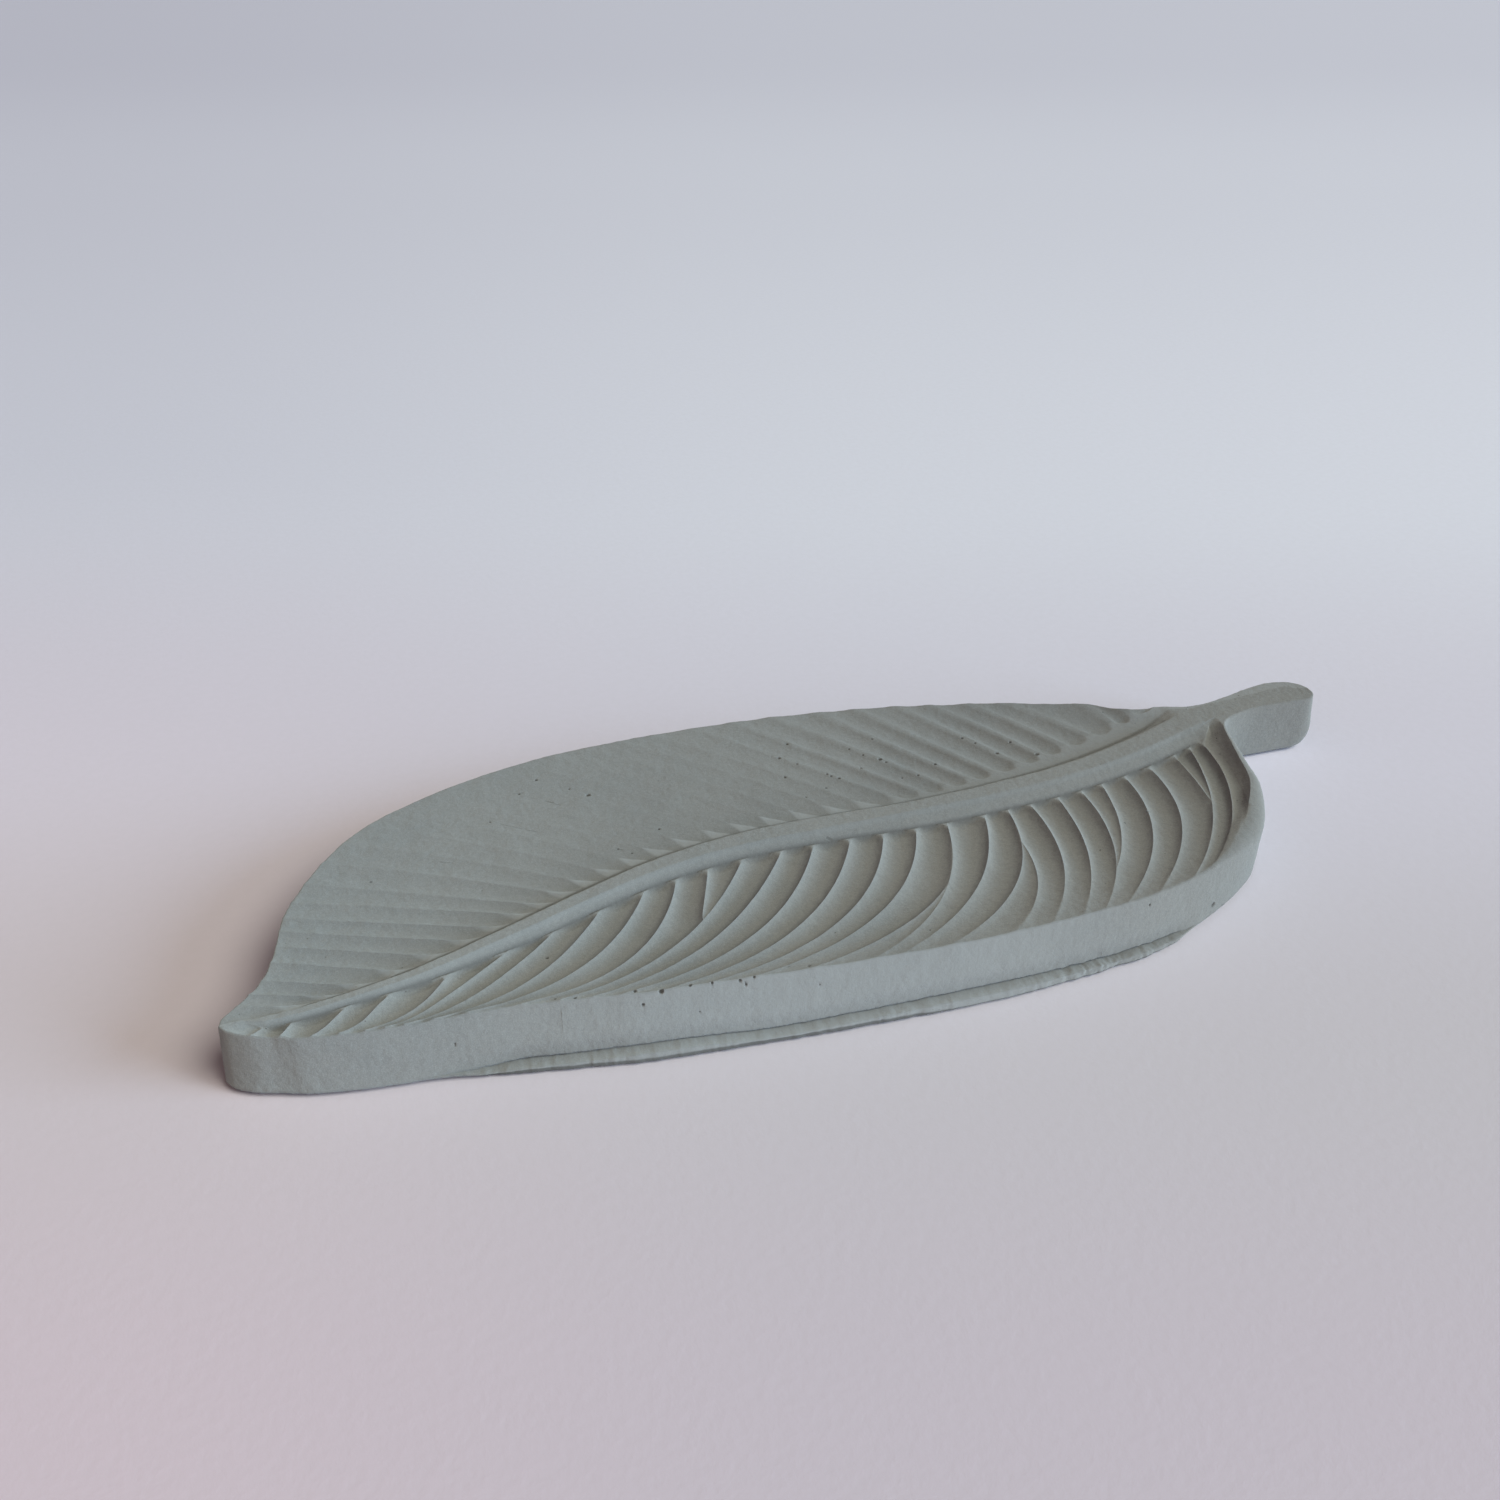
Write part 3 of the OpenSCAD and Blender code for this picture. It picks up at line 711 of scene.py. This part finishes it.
class Blade:
    """The carved part of one half, from the midrib's foot to the rim, by row and column."""

    def __init__(self, half):
        self.half = half
        self.v = np.linspace(0, 1, VEIN_COLUMNS) ** VEIN_SPACING
        self.t, share, self.width = half.rows(self.v)
        self.vv = np.broadcast_to(self.v, self.t.shape)
        self.plan = half.vein(self.t, self.vv)
        steps = np.linalg.norm(self.plan[:, 1:] - self.plan[:, :-1], axis=-1)
        self.along = np.concatenate([np.zeros((len(self.t), 1)), np.cumsum(steps, axis=1)], 1)
        self.across = (2 * share - 1)[:, None]
        self.crease = CREASE_D * rise(self.t[:, :1], *CREASE_RISE) * fall(self.t[:, :1], *CREASE_FALL)
        self.crease_line = np.exp(-((self.along / CREASE_W) ** 2))
        side = np.abs(self.across / half.wide(self.t)) ** half.round_power
        self.scoop = groove(side, half.head(self.t, self.along, self.across))
        self.low = self.depth()

    def depth(self):
        """Depth below the midrib's crown."""
        half = self.half
        run = 1 - (1 - half.run_share(self.t)) * self.vv ** half.run_power(self.t)
        flute = half.flute_d(self.t) * run * self.scoop
        flute = flute * clip(self.width / FULL_WIDTH, 0, MOST_WIDTH) ** WIDTH_POWER
        flute = flute * clip((1 - self.t) * half.flutes / TIP_FADE_FLUTES)
        low = half.drop(self.t) * (1 - self.vv ** DISH_POWER)
        low[FIRST_ROW:] += flute[FIRST_ROW:]
        if half.near:
            low[:STEM_ROWS] = 0
            low[STEM_ROWS:FIRST_ROW] = self.neck_depth()
        return low + self.crease * self.crease_line

    def neck_depth(self):
        """Depth of the flute beside the neck, between the first vein and the crest of the rim."""
        neck = self.plan[STEM_ROWS:FIRST_ROW]
        crest = np.concatenate([self.plan[STEM_ROWS, :1], neck[:, -1], self.plan[FIRST_ROW, -1:]])
        a = to_line(neck, self.plan[FIRST_ROW])
        b = to_line(neck, crest)
        u = a / (a + b + 1e-4)
        base = self.half.drop(np.zeros(1))[0] * (1 - self.v ** DISH_POWER) * (1 - u)
        here = self.along[STEM_ROWS:FIRST_ROW]
        head = np.maximum(0, 1 - here / NECK_HEAD_L)
        return base + NEAR_FLUTE_D * groove((2 * u - 1) ** 2, head) * fall(here, NECK_FLUTE_L, NECK_FADE_L)

    def pale(self):
        """Painted light on the far half: lands between the heads of its flutes, and teeth on the crests
        towards the tip, where they catch the light.
        """
        if self.half.near:
            return np.zeros_like(self.low)
        land_l = self.half.gap(self.t) + LAND_HEAD_SHARE * FAR_HEAD_L
        lands = LAND_HIGHLIGHT * smooth(1 - LAND_STEEPNESS * self.scoop)
        lands = lands * fall(self.along, land_l, LAND_FADE_L) * rise(self.along, *LAND_START_RISE)
        tooth_from = TOOTH_FROM + (1 - TOOTH_FROM) * self.along / TOOTH_L
        teeth = rise(np.abs(self.across), tooth_from, TOOTH_FADE) * rise(self.along, *TOOTH_START_RISE)
        return lands + (TOOTH_HIGHLIGHT * teeth - lands) * rise(self.t, *TEETH_RISE)

    def dark(self):
        """Painted shade along the crease, and over the far half."""
        dark = self.half.crease_shade * self.crease_line * self.crease / CREASE_D
        # Painted shade over the far half
        return dark if self.half.near else dark + FAR_HALF_SHADE * rise(self.t, *FAR_HALF_SHADE_RISE)


class Lip:
    """Foot of one half's wall, by row: its radius, and the height and reach of the pour lip on it."""

    def __init__(self, half, t, edge):
        self.share = half.lip(t)
        flat_edge = np.concatenate([edge, np.zeros((len(t), 1))], -1)
        neck_crumbly = NECK_CRUMBLY * fall(t, *NECK_CRUMBLY_FALL)
        crumbly = self.share * (CRUMBLY_LEAST + neck_crumbly + TIP_CRUMBLY * rise(t, *TIP_CRUMBLY_RISE))
        ragged = hill_layers(flat_edge, RAGGED_LAYERS) * (RAGGED_LEAST + RAGGED_MORE * crumbly)
        self.grit = GRIT_H * crumbly
        out = LIP_OUT * self.share * clip(1 + ragged, *LIP_OUT_LIMITS)
        self.out = out * (1 - NECK_OUT_LESS * fall(t, *NECK_OUT_FALL))
        stem_end = clip((-t - STEM_END_AT) / STEM_END_W + 1)
        self.foot_r = FOOT_R * (1 - LIP_FOOT_LESS * self.share) + (STEM_FOOT_R - FOOT_R) * stem_end
        self.foot_h = self.foot_r + (STEM_FOOT_H - STEM_FOOT_R) * stem_end
        height = LIP_H * (value(LIP, 1, t) + RAGGED_HEIGHT * ragged)
        self.top = self.foot_h + np.maximum(0, height - self.foot_h) * self.share
        self.edge_r = LIP_EDGE_R * self.share
        # Height of the painted contact shade, higher along the middle of the lip
        more = smooth(np.minimum(t - FOOT_SHADE_MORE_FROM, FOOT_SHADE_MORE_TO - t) / FOOT_SHADE_MORE_FADE)
        self.shade_h = FOOT_SHADE_H + FOOT_SHADE_MORE_H * more + FOOT_SHADE_RAGGED * ragged

    def contact_shade(self, height):
        """Painted contact shade on the wall's lowest edge at a height."""
        return FOOT_SHADE * fall(height, self.shade_h, FOOT_SHADE_FADE_H)


class Sheet:
    """Columns of points over one half, with the paling, darkening and grit of each point: the paling is
    painted light but for the paler stretch of the near wall, the darkening painted shade.
    """

    def __init__(self, rows):
        self.none = np.zeros(rows)
        self.lines = ([], [], [], [])

    def add(self, points, pale=0.0, dark=0.0, grit=0.0):
        self.lines[0].append(points)
        for line, values in zip(self.lines[1:], (pale, dark, grit)):
            line.append(self.none + values)

    def add_midrib(self, blade):
        """Columns over the crown and down the midrib's side."""
        half = blade.half
        t = blade.t[:, 0]
        x = TRAY_L * half.x_share(t)
        middle = half.middle(t)
        crown = half.crown(t) + half.crown_shift(t)
        side_w = half.side_w(t) - half.crown_shift(t)
        crease = blade.crease[:, 0]
        for s in np.arange(1, CROWN_COLUMNS + 1) / (CROWN_COLUMNS + 1):
            points = np.stack([x, middle + half.side * crown * s, self.none + TRAY_H], -1)
            # Painted shade on the flat crown, which takes less of the low light than the midrib's near side
            self.add(points, dark=CROWN_SHADE)
        for s in np.arange(SIDE_COLUMNS) / SIDE_COLUMNS:
            line = crease * np.exp(-((side_w * (1 - s) / CREASE_W) ** 2))
            down = (blade.low[:, 0] - crease) * half.side_fallen(s) + line
            points = np.stack([x, middle + half.side * (crown + side_w * s), TRAY_H - down], -1)
            # Painted highlight a little below the crown's near edge
            highlight = np.exp(-(((side_w * s - RIB_HIGHLIGHT_W) / RIB_HIGHLIGHT_W) ** 2)) * half.near
            # Painted shade in the crease at the midrib's foot, and on the crown's edge
            dark = half.crease_shade * line / CREASE_D + CROWN_SHADE * (s == 0)
            self.add(points, RIB_HIGHLIGHT * highlight * rise(t, *RIB_HIGHLIGHT_RISE), dark)

    def add_blade(self, blade):
        """Columns over the flutes."""
        points = np.concatenate([blade.plan, (TRAY_H - blade.low)[..., None]], -1)
        pale = blade.pale()
        dark = blade.dark()
        for i in range(VEIN_COLUMNS):
            self.add(points[:, i], pale[:, i], dark[:, i])

    def add_wall(self, blade):
        """Columns over the rounded edge, the wall, the lip and the foot."""
        half = blade.half
        t = blade.t[:, -1]
        edge = rim(half.table, t)
        out = half.outward(t)
        paler = clip(value(WALL_PALING, 1, t)) * half.near
        # Painted shade on the walls round the tip, which face away from the light, and on the walls beside
        # the neck
        neck_shade = fall(t, *WALL_NECK_FALL) * rise(t, *WALL_NECK_RISE)
        ends_shade = WALL_ENDS_SHADE * (rise(t, *WALL_TIP_RISE) + neck_shade)

        def at(offset, height, dark=0.0, grit=0.0):
            over_edge = edge + (self.none + offset)[:, None] * out
            points = np.concatenate([over_edge, (self.none + height)[:, None]], -1)
            self.add(points, paler, dark + ends_shade, grit)

        edge_z = TRAY_H - blade.low[:, -1]
        round_w = EDGE_R + half.shoulder(t)
        round_h = EDGE_R + SHOULDER_SLOPE * half.shoulder(t)
        for outward, down in round_corner(EDGE_COLUMNS):
            at(-round_w * outward, edge_z - round_h * down)

        lip = Lip(half, t, edge)
        flare = half.flare(t)
        top = edge_z - round_h
        for s in 1 - (1 - shares(WALL_COLUMNS)) ** WALL_SPACING:
            height = top + (lip.top - top) * s
            hollow = smooth(1 - (height - lip.top) / COVE_H)
            crevice = CREVICE_D * lip.share * clip(1 - (height - lip.top) / CREVICE_H)
            inner = flare * s - COVE_D * lip.share * hollow - crevice
            # Painted shade in the hollow over the lip and in the crevice at its root
            at(inner, height, COVE_SHADE * lip.share * hollow + CREVICE_SHADE * crevice)

        face = flare + lip.out
        for s in shares(LIP_COLUMNS):
            offset = inner + (face - lip.edge_r - inner) * s
            # Painted shade of the crevice, fading over the lip's top
            at(offset, lip.top, CREVICE_SHADE * crevice * (1 - s), lip.grit * s)
        for outward, down in round_corner(LIP_COLUMNS):
            at(face - lip.edge_r * outward, lip.top - lip.edge_r * down, 0.0, lip.grit)

        start = lip.top - lip.edge_r
        # Painted contact shade darkens the foot towards the floor
        for s in shares(FOOT_COLUMNS):
            height = start + (lip.foot_h - start) * s
            at(face, height, lip.contact_shade(height), lip.grit)
        for up, inward in round_corner(FOOT_COLUMNS):
            height = lip.foot_h * up
            at(face - lip.foot_r * inward, height, lip.contact_shade(height))


def half_grid(half):
    """Grids of one half by row and column: points, paling, darkening and grit."""
    blade = Blade(half)
    sheet = Sheet(len(blade.t))
    sheet.add_midrib(blade)
    sheet.add_blade(blade)
    sheet.add_wall(blade)
    return [np.stack(line, 1) for line in sheet.lines]


def zip_rows(a, a_x, b, b_x):
    """Triangles between two lines of points that both run down the leaf from the stem to the tip."""
    faces = []
    i = j = 0
    while i < len(a) - 1 or j < len(b) - 1:
        if j == len(b) - 1 or (i < len(a) - 1 and a_x[i + 1] >= b_x[j + 1]):
            faces.append((a[i], a[i + 1], b[j]))
            i += 1
        else:
            faces.append((a[i], b[j + 1], b[j]))
            j += 1
    return faces


def camera_frame(shift):
    turn = Euler((math.radians(90 - CAMERA_DOWN), 0, math.radians(-CAMERA_TURN)))
    return Vector(CAMERA_AT) * MM + Vector(shift), turn


def sight(shift, px, py):
    """Start and direction of the camera's view through a pixel of the photograph."""
    start, turn = camera_frame(shift)
    aim = Vector(((px - PHOTO / 2) / PHOTO, (PHOTO / 2 - py) / PHOTO, -LENS / SENSOR))
    aim.rotate(turn)
    return start, aim.normalized()


def lookup(verts):
    """Search tree over the places of points."""
    places = KDTree(len(verts))
    for i, v in enumerate(verts):
        places.insert(v.co, i)
    places.balance()
    return places


def seen_marks(bm, shift):
    """Pits and scratches of the photograph: both ends, direction of the surface, radius, depth by radius."""
    tree = BVHTree.FromBMesh(bm)
    marks = []
    for x0, y0, x1, y1, radius in PITS:
        a, direction, _, _ = tree.ray_cast(*sight(shift, x0, y0))
        b = tree.ray_cast(*sight(shift, x1, y1))[0]
        if a and b:
            share = PIT_SHARE if (x0, y0) == (x1, y1) else SCRATCH_SHARE
            marks.append((a, b, direction, radius * MM, share))
    return marks


def random_marks(verts):
    """Small pits at random points, in the form of seen_marks."""
    draw = random.Random(RANDOM_SEED)
    marks = []
    for v in draw.sample(verts, RANDOM_PITS):
        radius = draw.uniform(*RANDOM_RADII) * MM
        marks.append((v.co.copy(), v.co.copy(), v.normal.copy(), radius, draw.uniform(*RANDOM_SHARES)))
    return marks


def finer_faces(bm, verts, marks):
    """Divide the faces round the marks, and give the points there."""
    places = lookup(verts)
    split = set()
    for a, b, _, radius, _ in marks:
        around = (a - b).length / 2 + 2 * radius + PIT_ROOM * MM
        near = {verts[i] for _, i, _ in places.find_range((a + b) / 2, around)}
        split.update(e for v in near for e in v.link_edges if e.other_vert(v) in near)
    made = bmesh.ops.subdivide_edges(bm, edges=list(split), cuts=PIT_CUTS, use_grid_fill=True)
    fine = {e for e in made["geom_inner"] if isinstance(e, bmesh.types.BMVert)}
    fine.update(v for e in made["geom_split"] if isinstance(e, bmesh.types.BMEdge) for v in e.verts)
    return list(fine)


def sink_pits(bm, shift):
    """Press the air pits and scratches into the surface, and paint shade into them."""
    verts = list(bm.verts)
    marks = seen_marks(bm, shift) + random_marks(verts)
    fine = finer_faces(bm, verts, marks)
    places = lookup(fine)
    dark = bm.verts.layers.float["dark"]
    for a, b, direction, radius, share in marks:
        line = b - a
        for _, i, _ in places.find_range((a + b) / 2, line.length / 2 + radius):
            v = fine[i]
            k = min(max((v.co - a).dot(line) / max(line.length_squared, 1e-12), 0), 1)
            d = (v.co - a - line * k).length / radius
            if d < 1:
                # Painted shade in the pit
                v[dark] = max(v[dark], share * min(1, 2 * (1 - d)))
                v.co -= direction * radius * share * math.sqrt(1 - d * d)


def number_points(grids):
    """Number of each point of the grids, in a grid of its own for each half."""
    numbers = []
    start = 0
    for grid in grids:
        rows, columns, _ = grid.shape
        numbers.append(start + np.arange(rows * columns).reshape(rows, columns))
        start += rows * columns
    return numbers


def grid_faces(half, numbers):
    """Faces of one half, turned so that they look outward."""
    corners = [numbers[:-1, :-1], numbers[1:, :-1], numbers[1:, 1:], numbers[:-1, 1:]]
    if not half.near:
        corners[1], corners[3] = corners[3], corners[1]
    return np.stack(corners, -1).reshape(-1, 4).tolist()


def seam_faces(numbers, grids):
    """Faces that join the halves: along the middle of the crown, and over the whole underside."""
    faces = []
    for column, under in ((0, False), (-1, True)):
        lines = []
        for i, grid in zip(numbers, grids):
            lines += [i[:, column].tolist(), np.minimum.accumulate(grid[:, column, 0])]
        strip = zip_rows(*lines)
        faces += [f if under else f[::-1] for f in strip]
    return faces


def over_cad(points):
    """The points in metres, their box centred on the box of the CAD casting, and the shift that did it."""
    corner_low, corner_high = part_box("cast_leaf")
    middle = (points.min(0) + points.max(0)) / 2 * MM
    shift = (np.array(corner_low) + np.array(corner_high)) / 2 - middle
    return points * MM + shift, shift


def roughen(mesh, points, grit):
    """Move the points along the surface's direction by fine unevenness."""
    directions = np.empty(len(points) * 3)
    mesh.vertex_normals.foreach_get("vector", directions)
    uneven = hill_layers(points / MM, UNEVEN_LAYERS) + grit * hills(points / MM, GRIT_SIZE, GRIT_SEED)
    points = points + uneven[:, None] * MM * directions.reshape(-1, 3)
    mesh.vertices.foreach_set("co", points.ravel())


def add(name, data):
    """New object in the scene."""
    made = bpy.data.objects.new(name, data)
    bpy.context.scene.collection.objects.link(made)
    return made


def casting():
    """The whole casting as one closed surface."""
    made = [half_grid(half) for half in HALVES]
    grids = [m[0] for m in made]
    pale, dark, grit = (np.concatenate([m[k].ravel() for m in made]) for k in (1, 2, 3))
    points, shift = over_cad(np.concatenate([grid.reshape(-1, 3) for grid in grids]))
    numbers = number_points(grids)
    faces = [face for half, i in zip(HALVES, numbers) for face in grid_faces(half, i)]
    mesh = bpy.data.meshes.new("leaf_casting")
    mesh.from_pydata(points.tolist(), [], faces + seam_faces(numbers, grids))
    roughen(mesh, points, grit)
    # The paling of each point is painted light, but for the paler stretch of the near wall
    mesh.attributes.new("pale", "FLOAT", "POINT").data.foreach_set("value", pale)
    # The darkening of each point is painted shade
    mesh.attributes.new("dark", "FLOAT", "POINT").data.foreach_set("value", dark)
    ends = set(np.concatenate([i[[0, -1]].ravel() for i in numbers]).tolist())
    bm = bmesh.new()
    bm.from_mesh(mesh)
    bmesh.ops.remove_doubles(bm, verts=[v for v in bm.verts if v.index in ends], dist=WELD)
    sink_pits(bm, shift)
    bm.to_mesh(mesh)
    bm.free()
    mesh.validate()
    mesh.shade_smooth()
    mesh.set_sharp_from_angle(angle=math.radians(SHARP_ANGLE))
    return add("leaf_casting", mesh), shift


class Nodes:
    """Short forms for building the nodes of a material or of the world."""

    def __init__(self, made, where="Object"):
        self.made = made
        made.use_nodes = True
        self.tree = made.node_tree
        self.where = self.new("ShaderNodeTexCoord").outputs[where]

    def link(self, a, b):
        self.tree.links.new(a, b)

    def new(self, kind, **values):
        """New node with values for some inputs. An underscore stands for the space in an input's name."""
        return self.fill(self.tree.nodes.new(kind), values)

    def fill(self, node, values):
        for name, item in values.items():
            node.inputs[name.replace("_", " ")].default_value = item
        return node

    def value(self, name):
        """A value that the mesh holds for each of its points."""
        made = self.new("ShaderNodeAttribute")
        made.attribute_name = name
        return made.outputs["Fac"]

    def place(self, seed):
        """Places on the object, moved aside so that each seed gives its own pattern."""
        made = self.new("ShaderNodeMapping", Location=(seed, seed * 0.7, seed * 1.3))
        self.link(self.where, made.inputs["Vector"])
        return made.outputs["Vector"]

    def noise(self, per_mm, detail, rough, seed=0.0):
        made = self.new("ShaderNodeTexNoise", Scale=per_mm / MM, Detail=detail, Roughness=rough)
        self.link(self.place(seed), made.inputs["Vector"])
        return made.outputs["Fac"]

    def cells(self, per_mm, seed):
        """Distance from the middle of the nearest cell, and that cell's random colour."""
        made = self.new("ShaderNodeTexVoronoi", Scale=per_mm / MM)
        self.link(self.place(seed), made.inputs["Vector"])
        return made.outputs["Distance"], made.outputs["Color"]

    def along(self, direction):
        """How far a place lies along a direction."""
        made = self.new("ShaderNodeVectorMath")
        made.operation = "DOT_PRODUCT"
        made.inputs[1].default_value = direction
        self.link(self.where, made.inputs[0])
        return made.outputs["Value"]

    def ramp(self, value, low, high, to_low=0.0, to_high=1.0, form="SMOOTHSTEP"):
        limits = {"From_Min": low, "From_Max": high, "To_Min": to_low, "To_Max": to_high}
        made = self.new("ShaderNodeMapRange", **limits)
        made.interpolation_type = form
        self.link(value, made.inputs["Value"])
        return made.outputs["Result"]

    def math(self, operation, a, b):
        made = self.new("ShaderNodeMath")
        made.operation = operation
        for socket, item in zip(made.inputs, (a, b)):
            if isinstance(item, (int, float)):
                socket.default_value = item
            else:
                self.link(item, socket)
        return made.outputs["Value"]

    def steps(self, factor, stops, form="EASE"):
        """Colour that runs through stops of place and colour."""
        made = self.new("ShaderNodeValToRGB")
        made.color_ramp.interpolation = form
        while len(made.color_ramp.elements) < len(stops):
            made.color_ramp.elements.new(0.5)
        for element, (place, colour) in zip(made.color_ramp.elements, stops):
            element.position = place
            element.color = (*colour, 1)
        self.link(factor, made.inputs["Fac"])
        return made.outputs["Color"]

    def mix(self, factor, a, b, blend="MIX"):
        made = self.new("ShaderNodeMix")
        made.data_type = "RGBA"
        made.blend_type = blend
        for name, item in (("Factor_Float", factor), ("A_Color", a), ("B_Color", b)):
            socket = next(s for s in made.inputs if s.identifier == name)
            if isinstance(item, tuple):
                socket.default_value = (*item, 1)
            elif isinstance(item, (int, float)):
                socket.default_value = item
            else:
                self.link(item, socket)
        return next(s for s in made.outputs if s.identifier == "Result_Color")

    def bump(self, height, distance, normal=None):
        """Direction of a surface with a height pattern on it, over a distance in millimetres."""
        made = self.new("ShaderNodeBump", Distance=distance * MM)
        self.link(height, made.inputs["Height"])
        if normal is not None:
            self.link(normal, made.inputs["Normal"])
        return made.outputs["Normal"]

    def finish(self, colour, normal, **values):
        """The material, with a colour, a direction of its surface and values for other inputs."""
        shader = self.fill(self.tree.nodes["Principled BSDF"], values)
        self.link(colour, shader.inputs["Base Color"])
        self.link(normal, shader.inputs["Normal"])
        return self.made


def stone():
    """Cast mineral: grey green, matt, with soft clouds, fine sand grain and small pores."""
    n = Nodes(bpy.data.materials.new("cast_stone"))
    clouds = n.noise(0.03, detail=3.0, rough=0.5)
    patches = n.noise(0.16, detail=3.0, rough=0.55, seed=3.0)
    grain = n.noise(1.4, detail=3.0, rough=0.6, seed=7.0)
    sand = n.noise(4.6, detail=2.0, rough=0.6, seed=11.0)
    colour = n.mix(n.ramp(clouds, 0.35, 0.65), STONE_COOL, STONE_WARM)
    colour = n.mix(n.ramp(patches, 0.3, 0.72, to_high=PATCH_SHARE), colour, STONE_PATCH)
    colour = n.mix(n.ramp(grain, 0.3, 0.7, GRAIN_SHARE, 0.0), colour, STONE_GRAIN)
    colour = n.mix(n.ramp(sand, 0.42, 0.72, to_high=SAND_SHARE), colour, STONE_SAND)
    from_pore, pore_seed = n.cells(0.17, seed=5.0)
    pore = n.math("MULTIPLY", n.ramp(from_pore, 0.035, 0.06, 1, 0), n.ramp(pore_seed, 0.78, 0.80))
    colour = n.mix(n.math("MULTIPLY", pore, PORE_SHARE), colour, STONE_PORE)
    # Painted light on the midrib and the far flutes, and the paler stretch of the near wall
    colour = n.mix(n.math("MULTIPLY", n.value("pale"), PALE_SHARE), colour, STONE_PALE)
    # Painted shade: crease, crown, far half, hollows, ends of the walls, contact line at the foot and pits
    colour = n.mix(n.math("MULTIPLY", n.value("dark"), PAINTED_SHADE_SHARE), colour, PAINTED_SHADE_COLOUR)
    height = n.math("ADD", n.math("MULTIPLY", grain, 0.7), n.math("MULTIPLY", sand, 0.3))
    fine = n.bump(height, 0.12)
    coarse = n.noise(0.35, detail=3.0, rough=0.5, seed=2.0)
    bumps = n.bump(coarse, 0.22, fine)
    return n.finish(colour, bumps, Roughness=0.9, Diffuse_Roughness=1.0, Specular_IOR_Level=0.22)


def paper(shift):
    """Pale paper with the fall of light painted in: warm in front, brighter and cooler behind the leaf, a
    little darker far to the left.
    """
    n = Nodes(bpy.data.materials.new("paper"))
    start, _ = camera_frame(shift)
    away = math.radians(CAMERA_TURN)
    distances = []
    for x, y in ((math.sin(away), math.cos(away)), (math.cos(away), -math.sin(away))):
        distances.append(n.math("SUBTRACT", n.along((x, y, 0)), start.x * x + start.y * y))
    ahead, across = distances
    aside = n.math("DIVIDE", across, n.math("ADD", ahead, 0.1))
    left = n.ramp(aside, *PAPER_LEFT_FADE, 1, 0)
    right = n.ramp(aside, *PAPER_RIGHT_FADE)
    back = n.ramp(ahead, *PAPER_BACK_FADE)
    # Painted fall of light with distance, then painted light and shade at the sides
    colour = n.steps(n.math("DIVIDE", ahead, PAPER_REACH), PAPER_LIGHT_STOPS)
    colour = n.mix(left, colour, n.mix(back, PAPER_LEFT_FRONT_LIGHT, PAPER_LEFT_BACK_SHADE), "MULTIPLY")
    colour = n.mix(n.math("MULTIPLY", right, back), colour, PAPER_RIGHT_BACK_LIGHT, "MULTIPLY")
    fibres = n.noise(0.5, detail=4.0, rough=0.6)
    colour = n.mix(n.ramp(fibres, 0.3, 0.7, FIBRE_SHARE, 0.0), colour, PAPER_FIBRE)
    return n.finish(colour, n.bump(fibres, 0.05), Roughness=0.9, Specular_IOR_Level=0.1)


def rubber():
    """Soft dark rubber with a fine grain."""
    n = Nodes(bpy.data.materials.new("dot_rubber"))
    grain = n.noise(2.5, detail=3.0, rough=0.6)
    colour = n.mix(n.ramp(grain, 0.3, 0.7), RUBBER_DARK, RUBBER_LIGHT)
    return n.finish(colour, n.bump(grain, 0.05), Roughness=0.75)


def camera(shift):
    data = bpy.data.cameras.new("camera")
    data.lens = LENS
    data.sensor_width = SENSOR
    data.clip_end = VIEW_END
    made = add("camera", data)
    made.location, made.rotation_euler = camera_frame(shift)
    bpy.context.scene.camera = made


def sun(name, azimuth, elevation, spread, strength, colour):
    """Sun that shines from an azimuth and an elevation, in degrees like its spread."""
    data = bpy.data.lights.new(name, "SUN")
    data.angle = math.radians(spread)
    data.energy = strength
    data.color = colour
    made = add(name, data)
    a = math.radians(azimuth)
    e = math.radians(elevation)
    made.location = Vector((math.cos(a) * math.cos(e), math.sin(a) * math.cos(e), math.sin(e)))
    made.rotation_euler = (-made.location).to_track_quat("-Z", "Y").to_euler()


def floor(shift):
    corners = [(x * FLOOR_REACH, y * FLOOR_REACH, 0) for x, y in ((-1, -1), (1, -1), (1, 1), (-1, 1))]
    mesh = bpy.data.meshes.new("floor")
    mesh.from_pydata(corners, [], [(0, 1, 2, 3)])
    mesh.materials.append(paper(shift))
    add("floor", mesh)


def world():
    """Weak room light: warm from the left and the front, cool from above and behind."""
    n = Nodes(bpy.data.worlds.new("studio"), "Generated")
    share = n.ramp(n.along(ROOM_WARM_SIDE), *ROOM_FADE, form="LINEAR")
    n.link(n.steps(share, ROOM, "LINEAR"), n.tree.nodes["Background"].inputs["Color"])
    bpy.context.scene.world = n.made


leaf, shift = casting()
leaf.data.materials.append(stone())
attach(leaf, "root")
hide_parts("cast_leaf")

dots = rubber()
for name in ("tip_dot", "near_dot", "far_dot", "neck_dot"):
    dot = frame["nodes"][name]
    dot.data.materials.clear()
    dot.data.materials.append(dots)

floor(shift)
world()
camera(shift)
sun("low_key", azimuth=-40, elevation=14, spread=34, strength=2.75, colour=(0.73, 1.0, 1.26))
sun("high_key", azimuth=-60, elevation=50, spread=34, strength=1.9, colour=(0.98, 0.98, 0.86))

bpy.context.scene.view_settings.view_transform = "Standard"
